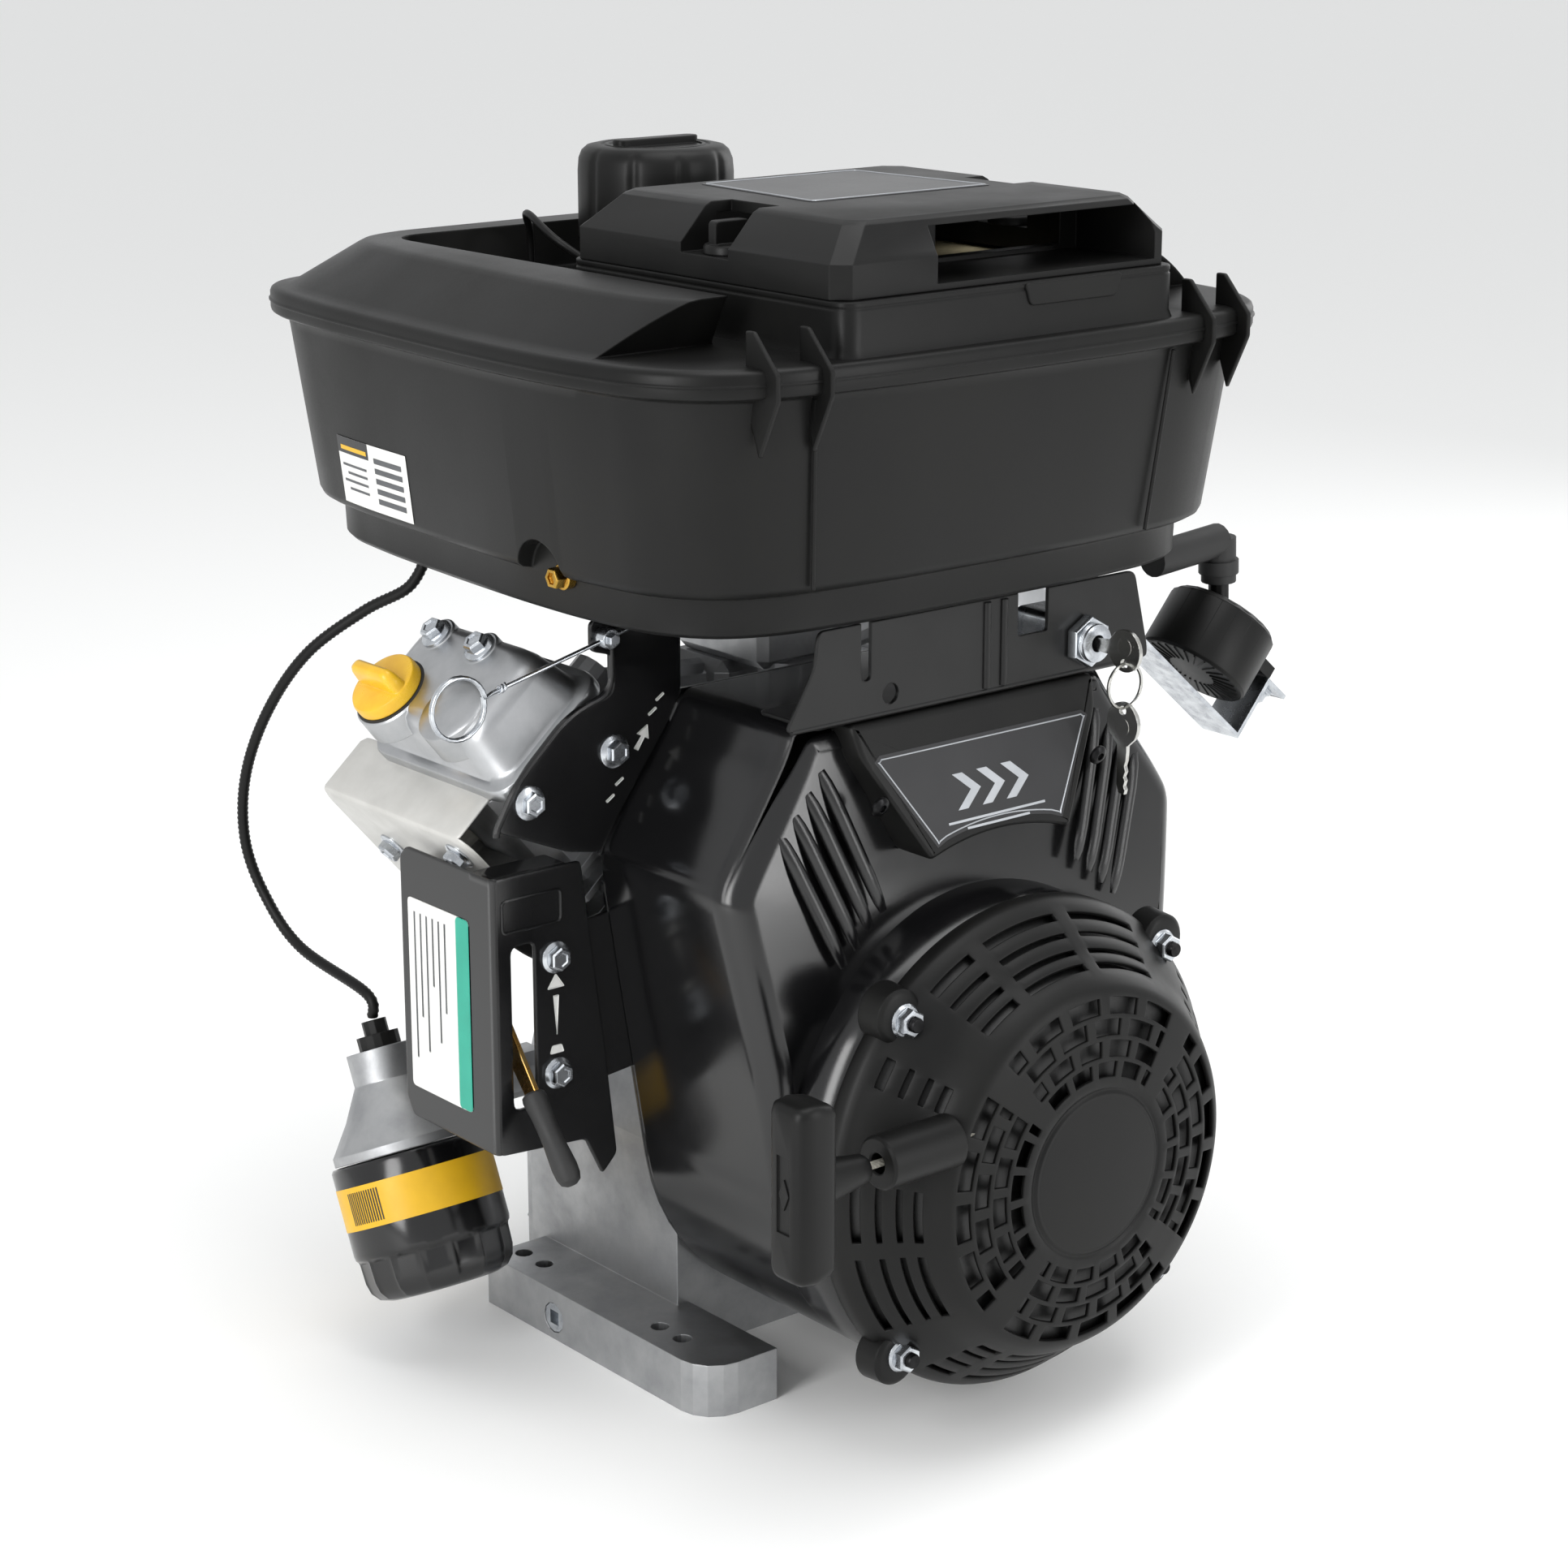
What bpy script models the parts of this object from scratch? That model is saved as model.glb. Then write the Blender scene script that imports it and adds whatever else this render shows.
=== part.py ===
"""Small V-twin gasoline engine with a fuel tank and air cleaner on top.

Metres, +Z up. The crankshaft lies along Y with its output end at +Y, and the recoil
starter faces -Y. The origin is on the mounting plane, straight below the crankshaft.
"""

import math

import bmesh
import bpy
from mathutils import Matrix, Vector

MM = 0.001
GAP = 0.3 * MM  # left between pieces that touch

# Driving dimensions
CRANK_Z = 152 * MM
BANK_ANGLE = math.radians(41)  # each cylinder leans this far from upright
BORE_R = 36.3 * MM
STROKE = 70 * MM
DECK = 185 * MM  # crank centre to cylinder top, along the bank
ROCKER_FACE = 278 * MM  # crank centre to the rocker cover's joint
ROCKER_TOP = 318 * MM
CYLINDER_Y = {"left": 28 * MM, "right": 56 * MM}
CASE_Y = (-33 * MM, 105 * MM)
CAVITY_Y = -21 * MM  # inner side of the crankcase's front wall
BASE_HALF = 145 * MM
BASE_Y = (-110 * MM, 92 * MM)
BASE_TOP = 30 * MM
HOLE_X = 128 * MM
HOLE_Y = (80 * MM, 60 * MM, -48 * MM, -68 * MM)
PLATE_Y = (-42.7 * MM, -40.2 * MM)
HOUSING_R = 133 * MM
HOUSING_BACK = -43 * MM
HOUSING_STEP = -165 * MM
SHEET = 2.5 * MM
ROPE_R = 38 * MM  # rope's radius on the recoil pulley
ROPE_Y = -240.5 * MM
DECK_Z = 577 * MM
BOX_HALF = 113 * MM
BOX_Y = (-182 * MM, 40 * MM)
BOX_TOP = 604 * MM
CAP_AT = (10 * MM, 125 * MM)
PANEL_X = -230 * MM
PANEL_Y = -45 * MM
LEVER_AT = (-212 * MM, -5 * MM, 243 * MM)
KEY_AT = (78 * MM, -187 * MM, 405 * MM)
CHOKE_END = (-166 * MM, -50 * MM, 421 * MM)
CHOKE_RING = (-251 * MM, -50 * MM, 401 * MM)
FILTER_TOP = (-200 * MM, 87 * MM, 111 * MM)
FILTER_UP = (0, 0.423, 0.906)
CAN_FACE = (215 * MM, -105 * MM, 356 * MM)
SIDES = {"left": -1, "right": 1}


# ---------------------------------------------------------------- scene and materials


def clear_scene():
    for thing in list(bpy.data.objects):
        bpy.data.objects.remove(thing)


def make_material(name, colour, roughness, metallic):
    material = bpy.data.materials.new(name)
    material.use_nodes = True
    shader = material.node_tree.nodes["Principled BSDF"]
    shader.inputs["Base Color"].default_value = (*colour, 1)
    shader.inputs["Roughness"].default_value = roughness
    shader.inputs["Metallic"].default_value = metallic
    return material


def make_materials():
    table = {
        "black_enamel": ((0.012, 0.012, 0.013), 0.3, 0.0),
        "black_plastic": ((0.03, 0.03, 0.03), 0.5, 0.0),
        "cast_aluminium": ((0.55, 0.56, 0.57), 0.45, 1.0),
        "silver_paint": ((0.6, 0.6, 0.58), 0.4, 0.3),
        "zinc_steel": ((0.62, 0.64, 0.66), 0.28, 1.0),
        "forged_steel": ((0.35, 0.35, 0.36), 0.35, 1.0),
        "yellow_plastic": ((0.85, 0.6, 0.06), 0.4, 0.0),
        "yellow_zinc": ((0.62, 0.42, 0.16), 0.3, 1.0),
        "rubber": ((0.02, 0.02, 0.02), 0.7, 0.0),
        "filter_paper": ((0.75, 0.7, 0.55), 0.9, 0.0),
        "white_ceramic": ((0.85, 0.85, 0.82), 0.3, 0.0),
        "nylon_rope": ((0.75, 0.75, 0.7), 0.8, 0.0),
    }
    return {name: make_material(name, *values) for name, values in table.items()}


MATERIALS = {}


# ---------------------------------------------------------------- mesh helpers


def solid(name, mesh, material, origin=(0, 0, 0)):
    """Makes the named object from a bmesh in world places, with its origin at `origin`."""
    mesh.normal_update()
    bmesh.ops.recalc_face_normals(mesh, faces=mesh.faces)
    bmesh.ops.translate(mesh, vec=-Vector(origin), verts=mesh.verts)
    data = bpy.data.meshes.new(name)
    mesh.to_mesh(data)
    mesh.free()
    data.shade_smooth()
    data.set_sharp_from_angle(angle=math.radians(35))
    thing = bpy.data.objects.new(name, data)
    thing.location = origin
    bpy.context.scene.collection.objects.link(thing)
    if material:
        data.materials.append(MATERIALS[material])
    return thing


def combine(target, mesh, operation, name="cutter"):
    """Cuts `mesh` from the object, or joins it on, with a Boolean modifier."""
    other = solid(f"{target.name}_{name}", mesh, None)
    other.hide_render = True
    other.display_type = "WIRE"
    modifier = target.modifiers.new(name, "BOOLEAN")
    modifier.operation = operation
    modifier.object = other
    return target


def cut(target, *meshes):
    for mesh in meshes:
        combine(target, mesh, "DIFFERENCE", "cut")
    return target


def join(target, *meshes):
    for mesh in meshes:
        combine(target, mesh, "UNION", "join")
    return target


def box(low, high, bevel=0.0, segments=2, edges=None):
    """An axis-aligned box, with all its edges, or those that `edges` accepts, rounded."""
    mesh = bmesh.new()
    bmesh.ops.create_cube(mesh, size=1.0)
    low, high = Vector(low), Vector(high)
    for vert in mesh.verts:
        vert.co = Vector(
            (low[i] + (high[i] - low[i]) * (vert.co[i] + 0.5) for i in range(3))
        )
    if bevel:
        chosen = [e for e in mesh.edges if edges is None or edges(e)]
        round_edges(mesh, chosen, bevel, segments)
    return mesh


def upright(edge):
    """True for an edge that runs along Z."""
    a, b = (v.co for v in edge.verts)
    return abs(a.z - b.z) > 0.9 * (a - b).length


def along_x(edge):
    """True for an edge that runs along X."""
    a, b = (v.co for v in edge.verts)
    return abs(a.x - b.x) > 0.9 * (a - b).length


def along_y(edge):
    """True for an edge that runs along Y."""
    a, b = (v.co for v in edge.verts)
    return abs(a.y - b.y) > 0.9 * (a - b).length


def round_edges(mesh, edges, radius, segments=2):
    bmesh.ops.bevel(
        mesh, geom=edges, offset=radius, segments=segments, affect="EDGES", profile=0.5
    )


def prism(outline, start, depth):
    """Extrudes a closed outline of (x, y, z) points by the vector `depth`."""
    mesh = bmesh.new()
    base = [mesh.verts.new(Vector(p) + Vector(start)) for p in outline]
    face = mesh.faces.new(base)
    grown = bmesh.ops.extrude_face_region(mesh, geom=[face])["geom"]
    moved = [g for g in grown if isinstance(g, bmesh.types.BMVert)]
    bmesh.ops.translate(mesh, vec=depth, verts=moved)
    return mesh


def front_prism(outline, y_low, y_high):
    """Extrudes an outline of (x, z) points, seen from the front, along Y."""
    points = [(x, y_low, z) for x, z in outline]
    return prism(points, (0, 0, 0), (0, y_high - y_low, 0))


def plan_prism(outline, z_low, z_high):
    """Extrudes an outline of (x, y) points, seen from above, along Z."""
    points = [(x, y, z_low) for x, y in outline]
    return prism(points, (0, 0, 0), (0, 0, z_high - z_low))


def side_prism(outline, x_low, x_high):
    """Extrudes an outline of (y, z) points, seen from the side, along X."""
    points = [(x_low, y, z) for y, z in outline]
    return prism(points, (0, 0, 0), (x_high - x_low, 0, 0))


def turned(profile, centre, axis, steps=24):
    """Turns a closed profile of (radius, height) points round an axis through `centre`."""
    mesh = bmesh.new()
    verts = [mesh.verts.new((r, 0, h)) for r, h in profile]
    edges = [
        mesh.edges.new((verts[i], verts[(i + 1) % len(verts)]))
        for i in range(len(verts))
        if not (profile[i][0] == 0 and profile[(i + 1) % len(verts)][0] == 0)
    ]
    bmesh.ops.spin(
        mesh,
        geom=verts + edges,
        cent=(0, 0, 0),
        axis=(0, 0, 1),
        angle=2 * math.pi,
        steps=steps,
        use_duplicate=False,
    )
    bmesh.ops.remove_doubles(mesh, verts=mesh.verts, dist=1e-6)
    aim(mesh, centre, axis)
    return mesh


def aim(mesh, centre, axis):
    """Turns a mesh built along +Z so that it points along `axis` from `centre`."""
    turn = Vector((0, 0, 1)).rotation_difference(Vector(axis).normalized()).to_matrix().to_4x4()
    mesh.transform(Matrix.Translation(centre) @ turn)
    return mesh


def rod(start, end, radius, steps=16, end_radius=None):
    """A round bar, or a cone, between two points."""
    start, end = Vector(start), Vector(end)
    mesh = bmesh.new()
    bmesh.ops.create_cone(
        mesh,
        cap_ends=True,
        segments=steps,
        radius1=radius,
        radius2=radius if end_radius is None else end_radius,
        depth=(end - start).length,
    )
    aim(mesh, (start + end) / 2, end - start)
    return mesh


def merge_into(group, mesh):
    """Adds a mesh to a group as a separate solid."""
    data = bpy.data.meshes.new("group_member")
    mesh.to_mesh(data)
    mesh.free()
    group.from_mesh(data)
    bpy.data.meshes.remove(data)


def loft(sections):
    """A closed skin over sections that have the same number of points."""
    mesh = bmesh.new()
    rings = [[mesh.verts.new(p) for p in section] for section in sections]
    count = len(rings[0])
    for low, high in zip(rings, rings[1:]):
        for i in range(count):
            j = (i + 1) % count
            mesh.faces.new((low[i], low[j], high[j], high[i]))
    mesh.faces.new(list(reversed(rings[0])))
    mesh.faces.new(rings[-1])
    return mesh


def ball(centre, radius):
    mesh = bmesh.new()
    bmesh.ops.create_uvsphere(mesh, u_segments=10, v_segments=6, radius=radius)
    bmesh.ops.translate(mesh, vec=centre, verts=mesh.verts)
    return mesh


def torus(centre, axis, radius, wire, steps, sides):
    """A round ring of round wire about `axis`."""
    profile = []
    for i in range(sides):
        turn = 2 * math.pi * i / sides
        profile.append((radius + wire * math.cos(turn), wire * math.sin(turn)))
    return turned(profile, centre, axis, steps)


def arc(centre, radius, start_deg, end_deg, count):
    """Points on an arc, as pairs, from start to end."""
    return [
        (
            centre[0] + radius * math.cos(math.radians(start_deg + (end_deg - start_deg) * i / count)),
            centre[1] + radius * math.sin(math.radians(start_deg + (end_deg - start_deg) * i / count)),
        )
        for i in range(count + 1)
    ]


def smooth_route(points, count):
    """`count` points on a Catmull-Rom curve through the given points."""
    knots = [Vector(p) for p in points]
    knots = [2 * knots[0] - knots[1], *knots, 2 * knots[-1] - knots[-2]]
    spans = len(knots) - 3
    route = []
    for i in range(count):
        place = i * spans / (count - 1)
        span = min(int(place), spans - 1)
        t = place - span
        a, b, c, d = knots[span : span + 4]
        route.append(
            0.5
            * (
                2 * b
                + (c - a) * t
                + (2 * a - 5 * b + 4 * c - d) * t * t
                + (3 * b - a - 3 * c + d) * t * t * t
            )
        )
    return route


def tube(name, points, radius, material, count):
    """A round cord or wire along a smooth route, as a bevelled curve."""
    curve = bpy.data.curves.new(name, "CURVE")
    curve.dimensions = "3D"
    curve.bevel_depth = radius
    curve.bevel_resolution = 2
    curve.use_fill_caps = True
    spline = curve.splines.new("POLY")
    route = smooth_route(points, count)
    spline.points.add(len(route) - 1)
    for point, place in zip(spline.points, route):
        point.co = (*place, 1)
    curve.materials.append(MATERIALS[material])
    thing = bpy.data.objects.new(name, curve)
    bpy.context.scene.collection.objects.link(thing)
    return thing


# ---------------------------------------------------------------- bank frame


class Bank:
    """Places on one cylinder bank: u outward along the bore, t across it, and y."""

    def __init__(self, side):
        lean = SIDES[side] * BANK_ANGLE
        self.sign = SIDES[side]
        self.y = CYLINDER_Y[side]
        self.out = Vector((math.sin(lean), 0, math.cos(lean)))
        self.across = Vector((-self.sign * math.cos(lean), 0, self.sign * math.sin(lean)))

    def at(self, u, t, y):
        """A point: u from the crank centre, t across towards the middle, y from the bore."""
        centre = Vector((0, self.y, CRANK_Z))
        return centre + self.out * u + self.across * t + Vector((0, y, 0))

    def place(self, mesh):
        """Moves a mesh built as (t, y, u) to its place on the engine."""
        turn = Matrix((self.across, (0, 1, 0), self.out)).transposed().to_4x4()
        mesh.transform(Matrix.Translation((0, self.y, CRANK_Z)) @ turn)
        return mesh

    def block(self, u, t, y, bevel=0.0, segments=2):
        """A box between pairs of u, t and y, with its edges along u rounded by `bevel`."""
        mesh = box((t[0], y[0], u[0]), (t[1], y[1], u[1]), bevel, segments, upright)
        return self.place(mesh)

    def bar(self, u, t, y, radius, steps=16):
        return rod(self.at(u[0], t, y), self.at(u[1], t, y), radius, steps)


# ---------------------------------------------------------------- crankcase and cylinders


def case_outline(wide, mid, narrow, low, top):
    return [
        (-wide, low),
        (wide, low),
        (wide, 120 * MM),
        (mid, top - 32 * MM),
        (narrow, top),
        (-narrow, top),
        (-mid, top - 32 * MM),
        (-wide, 120 * MM),
    ]


CAM_REACH = 75.9 * MM  # crank centre down to the cam centre
CAM_Z = CRANK_Z - CAM_REACH


def make_crankcase():
    """One casting: base with two feet forward, crank chamber and the two finned barrels."""
    outline = case_outline(104 * MM, 88 * MM, 60 * MM, 2 * MM, 222 * MM)
    case = solid("crankcase", front_prism(outline, *CASE_Y), "cast_aluminium")
    inner = 96 * MM
    corner = (-BASE_HALF + 22 * MM, BASE_Y[0] + 22 * MM)
    slab = [(-BASE_HALF, BASE_Y[1]), *arc(corner, 22 * MM, 180, 270, 4)]
    slab += [(-inner, BASE_Y[0]), (-inner, CASE_Y[0])]
    slab += [(-x, y) for x, y in reversed(slab)]
    join(case, plan_prism(slab, 0, BASE_TOP))
    for side in SIDES:
        bank = Bank(side)
        join(case, bank.bar((70 * MM, DECK), 0, 0, 47 * MM, 24))
        for i in range(3):
            u = 122 * MM + i * 22 * MM
            half = 52 * MM if i < 1 else 56 * MM
            join(case, bank.block((u, u + 4 * MM), (-half, half), (-half, half), 12 * MM, 1))
    for x, z in ((-80, 62), (80, 62), (-50, 205), (50, 205)):
        start = (x * MM, CASE_Y[0] + 2 * MM, z * MM)
        join(case, rod(start, (x * MM, PLATE_Y[1] + GAP, z * MM), 9 * MM, 12))
    cut(case, rod((0, CAVITY_Y, CRANK_Z), (0, 0.2, CRANK_Z), 60 * MM, 24))
    cut(case, box((-84 * MM, CAVITY_Y, 20 * MM), (84 * MM, 0.2, 118 * MM)))
    cut(case, rod((0, -0.1, CRANK_Z), (0, 0, CRANK_Z), 17 * MM, 20))
    cut(case, rod((0, CAVITY_Y - 6 * MM, CAM_Z), (0, 0, CAM_Z), 8.3 * MM, 16))
    for side in SIDES:
        cut(case, Bank(side).bar((40 * MM, DECK + 5 * MM), 0, 0, BORE_R, 24))
    for sign in (-1, 1):
        for y in HOLE_Y:
            cut(case, rod((sign * HOLE_X, y, -0.01), (sign * HOLE_X, y, 0.04), 5.25 * MM, 12))
    cut(case, rod((-0.2, 28 * MM, 13 * MM), (-0.128, 28 * MM, 13 * MM), 9 * MM, 12))
    plug = rod((-144.6 * MM, 28 * MM, 13 * MM), (-130 * MM, 28 * MM, 13 * MM), 8.6 * MM, 12)
    plug = solid("drain_plug", plug, "zinc_steel")
    low, high = (-150 * MM, 24 * MM, 9 * MM), (-139 * MM, 32 * MM, 17 * MM)
    cut(plug, box(low, high))


def make_output_cover():
    """Output-side cover with the shaft boss, its seal and its bolts."""
    y0 = CASE_Y[1] + GAP
    outline = case_outline(98 * MM, 82 * MM, 54 * MM, 14 * MM, 216 * MM)
    cover = solid("crankcase_cover", front_prism(outline, y0, y0 + 12 * MM), "cast_aluminium")
    join(cover, rod((0, y0 + 5 * MM, CRANK_Z), (0, y0 + 24 * MM, CRANK_Z), 46 * MM, 24))
    cut(cover, rod((0, 0, CRANK_Z), (0, 0.2, CRANK_Z), 17 * MM, 20))
    cut(cover, rod((0, y0 + 15 * MM, CRANK_Z), (0, 0.2, CRANK_Z), 25 * MM, 20))
    cut(cover, rod((0, 0, CAM_Z), (0, y0 + 6 * MM, CAM_Z), 8.3 * MM, 16))
    places = ((-88, 30), (88, 30), (-88, 105), (88, 105), (-62, 190), (62, 190))
    add_bolts(cover, [((x * MM, y0 + 12 * MM, z * MM), (0, 1, 0)) for x, z in places])


def make_heads():
    for side in SIDES:
        bank = Bank(side)
        u0 = DECK + GAP
        u1 = ROCKER_FACE - GAP
        body = bank.block((u0, u1), (-38 * MM, 42 * MM), (-52 * MM, 52 * MM), 10 * MM, 1)
        head = solid(f"cylinder_head_{side}", body, "cast_aluminium")
        for i in range(3):
            u = u0 + i * 14 * MM
            fin = bank.block((u, u + 4 * MM), (-48 * MM, 46 * MM), (-60 * MM, 60 * MM), 10 * MM, 1)
            join(head, fin)
        cut(head, bank.bar((u0 - 1 * MM, u0 + 12 * MM), 0, 0, 33 * MM, 20))
        well = ((u1 - 28 * MM, u1 + 1 * MM), (-28 * MM, 32 * MM), (-42 * MM, 42 * MM))
        cut(head, bank.block(*well))
        start, end = bank.at(226 * MM, -60 * MM, 24 * MM), bank.at(226 * MM, -16 * MM, 24 * MM)
        cut(head, rod(start, end, 9.8 * MM, 12))


ROCKER_T = (-36 * MM, 48 * MM)
ROCKER_Y = (-64 * MM, 64 * MM)
FILLER = (-14 * MM, 32 * MM)  # t and y of the oil filler on the left cover
BOLT_SEATS = ((26 * MM, 32 * MM), (26 * MM, -8 * MM))


def add_bolts(target, seats, size=6.5 * MM, head=6.5 * MM, flange=9 * MM):
    """Adds the heads of like flange bolts, at (place, axis) seats, to the piece they hold."""
    group = bmesh.new()
    for place, axis in seats:
        axis = Vector(axis).normalized()
        profile = [(0, -1 * MM), (flange, -1 * MM), (flange * 0.95, 2 * MM)]
        profile += [(size, 2 * MM), (size * 0.96, head), (0, head)]
        merge_into(group, turned(profile, place, axis, 6))
    join(target, group)


def make_rocker_covers():
    for side in SIDES:
        bank = Bank(side)
        flange = (ROCKER_FACE, ROCKER_FACE + 9 * MM)
        plate = bank.block(flange, ROCKER_T, ROCKER_Y, 14 * MM, 3)
        cover = solid(f"rocker_cover_{side}", plate, "cast_aluminium")
        middle = sum(ROCKER_T) / 2
        half = ROCKER_T[1] - middle
        dome = []
        for u, inset, ends in ((ROCKER_FACE + 5 * MM, 5, 5), (ROCKER_TOP - 6 * MM, 10, 14)):
            dome.append((u, half - inset * MM, ROCKER_Y[1] - ends * MM))
        dome.append((ROCKER_TOP, half - 16 * MM, ROCKER_Y[1] - 22 * MM))
        sections = []
        for u, t, y in dome:
            corner = 9 * MM
            ring = [(t, corner - y), (t, y - corner), (t - corner, y), (corner - t, y)]
            ring += [(-t, y - corner), (-t, corner - y), (corner - t, -y), (t - corner, -y)]
            sections.append([(middle + a, b, u) for a, b in ring])
        join(cover, bank.place(loft(sections)))
        inner = (ROCKER_FACE - 2 * MM, ROCKER_TOP - 5 * MM)
        cut(cover, bank.block(inner, (-20 * MM, 30 * MM), (-40 * MM, 40 * MM)))
        add_bolts(cover, [(bank.at(ROCKER_TOP, t, y), bank.out) for t, y in BOLT_SEATS])
        if side == "left":
            depth = (ROCKER_TOP - 12 * MM, ROCKER_TOP + 5 * MM)
            cut(cover, bank.bar(depth, *FILLER, 14.4 * MM, 20))


def make_rocker_fittings():
    bank = Bank("left")
    base = bank.at(ROCKER_TOP + GAP, *FILLER)
    neck, rim = 13.6 * MM, 20 * MM
    profile = [(0, -9 * MM), (neck, -9 * MM), (neck, 0), (rim, 0), (rim, 6 * MM)]
    profile += [(rim - 1 * MM, 8 * MM), (0, 8 * MM)]
    cap = solid("oil_filler_cap", turned(profile, base, bank.out, 20), "yellow_plastic", base)
    low, high = (-4 * MM, -17 * MM, 6 * MM), (4 * MM, 17 * MM, 20 * MM)
    grip = box(low, high, 5 * MM, 2, along_x)
    turn = Matrix((bank.across, (0, 1, 0), bank.out)).transposed().to_4x4()
    grip.transform(Matrix.Translation(base) @ turn)
    join(cap, grip)


def make_shields():
    """Sheet covers under the two heads, with the hole that the plug lead goes through."""
    for side in SIDES:
        bank = Bank(side)
        t_low = -64 * MM
        span = (DECK + 2 * MM, ROCKER_FACE + 2 * MM)
        face = bank.block(span, (t_low, t_low + 2 * MM), (-50 * MM, 92 * MM), 0, 2)
        sheet = solid(f"head_shield_{side}", face, "silver_paint")
        rear = (span[0] + 4 * MM, span[1] - 4 * MM)
        join(sheet, bank.block(rear, (t_low + 1 * MM, -14 * MM), (88 * MM, 90 * MM)))
        tab = bank.block((270 * MM, 273 * MM), (t_low + 1 * MM, -39 * MM), (-20 * MM, 20 * MM))
        join(sheet, tab)
        start, end = bank.at(226 * MM, -80 * MM, 24 * MM), bank.at(226 * MM, -50 * MM, 24 * MM)
        cut(sheet, rod(start, end, 16 * MM, 16))


def make_ignition():
    """Spark plugs, their boots, the leads forward to the plate, and the two coils."""
    for side in SIDES:
        bank = Bank(side)
        u, y = 226 * MM, 24 * MM
        profile = [(0, 0), (6.8 * MM, 0), (6.8 * MM, 10 * MM), (9.2 * MM, 11 * MM)]
        profile += [(9.2 * MM, 19 * MM), (5.5 * MM, 20 * MM), (4.5 * MM, 32 * MM), (0, 33 * MM)]
        plug = turned(profile, bank.at(u, -17 * MM, y), -bank.across, 12)
        solid(f"spark_plug_{side}", plug, "white_ceramic")
        top = bank.at(u, -50.6 * MM, y)
        bend = bank.at(u, -77 * MM, y)
        nose = bank.at(u + 4 * MM, -78 * MM, y - 40 * MM)
        boot = solid(f"plug_boot_{side}", rod(top, bend, 9.5 * MM, 12), "rubber")
        join(boot, ball(bend, 10.5 * MM), rod(bend, nose, 9.3 * MM, 12, 6 * MM))
        end_y = PLATE_Y[1] + GAP
        way = (nose - bend).normalized()
        route = [nose + way * 1.6 * MM, nose + way * 10 * MM]
        if side == "left":
            route.append(Vector((-199 * MM, -26 * MM, 260 * MM)))
            route.append(Vector((-195 * MM, end_y + 1 * MM, 257 * MM)))
        else:
            route.append(Vector((196 * MM, -8 * MM, 268 * MM)))
            route.append(Vector((165 * MM, -22 * MM, 262 * MM)))
            route.append(Vector((150 * MM, end_y + 7 * MM, 262 * MM)))
            route.append(Vector((149 * MM, end_y + 0.7 * MM, 262 * MM)))
        tube(f"ignition_lead_{side}", route, 3.5 * MM, "rubber", 12)
        angle = math.radians(90 + bank.sign * -48)
        out = Vector((math.cos(angle), 0, math.sin(angle)))
        coil = box((-18 * MM, -98 * MM, 96 * MM), (18 * MM, -70 * MM, 122 * MM), 4 * MM, 1)
        turn = Vector((0, 0, 1)).rotation_difference(out).to_matrix().to_4x4()
        coil.transform(Matrix.Translation((0, 0, CRANK_Z)) @ turn)
        coil = solid(f"ignition_coil_{side}", coil, "black_plastic")
        leg = box((-5 * MM, -72 * MM, 106 * MM), (5 * MM, PLATE_Y[0] - GAP, 116 * MM))
        leg.transform(Matrix.Translation((0, 0, CRANK_Z)) @ turn)
        join(coil, leg)


# ---------------------------------------------------------------- moving inner parts

PISTON_MID = 118 * MM  # crank centre to the gudgeon pin at mid stroke
CRANK_AT = (0, 42 * MM, CRANK_Z)
GEAR_MODULE = 3.15 * MM
GEAR_Y = (86 * MM, 94 * MM)


def make_pistons():
    for side in SIDES:
        bank = Bank(side)
        centre = bank.at(PISTON_MID, 0, 0)
        radius = BORE_R - 0.4 * MM
        profile = [(0, -10 * MM), (radius - 5 * MM, -10 * MM), (radius - 5 * MM, -20 * MM)]
        profile += [(radius, -20 * MM), (radius, 24 * MM), (radius - 2 * MM, 26 * MM)]
        profile += [(0, 26 * MM)]
        piston = turned(profile, centre, bank.out, 24)
        piston = solid(f"piston_{side}", piston, "cast_aluminium", centre)
        reach = Vector((0, 40 * MM, 0))
        cut(piston, rod(centre - reach, centre + reach, 9 * MM, 12))


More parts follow.
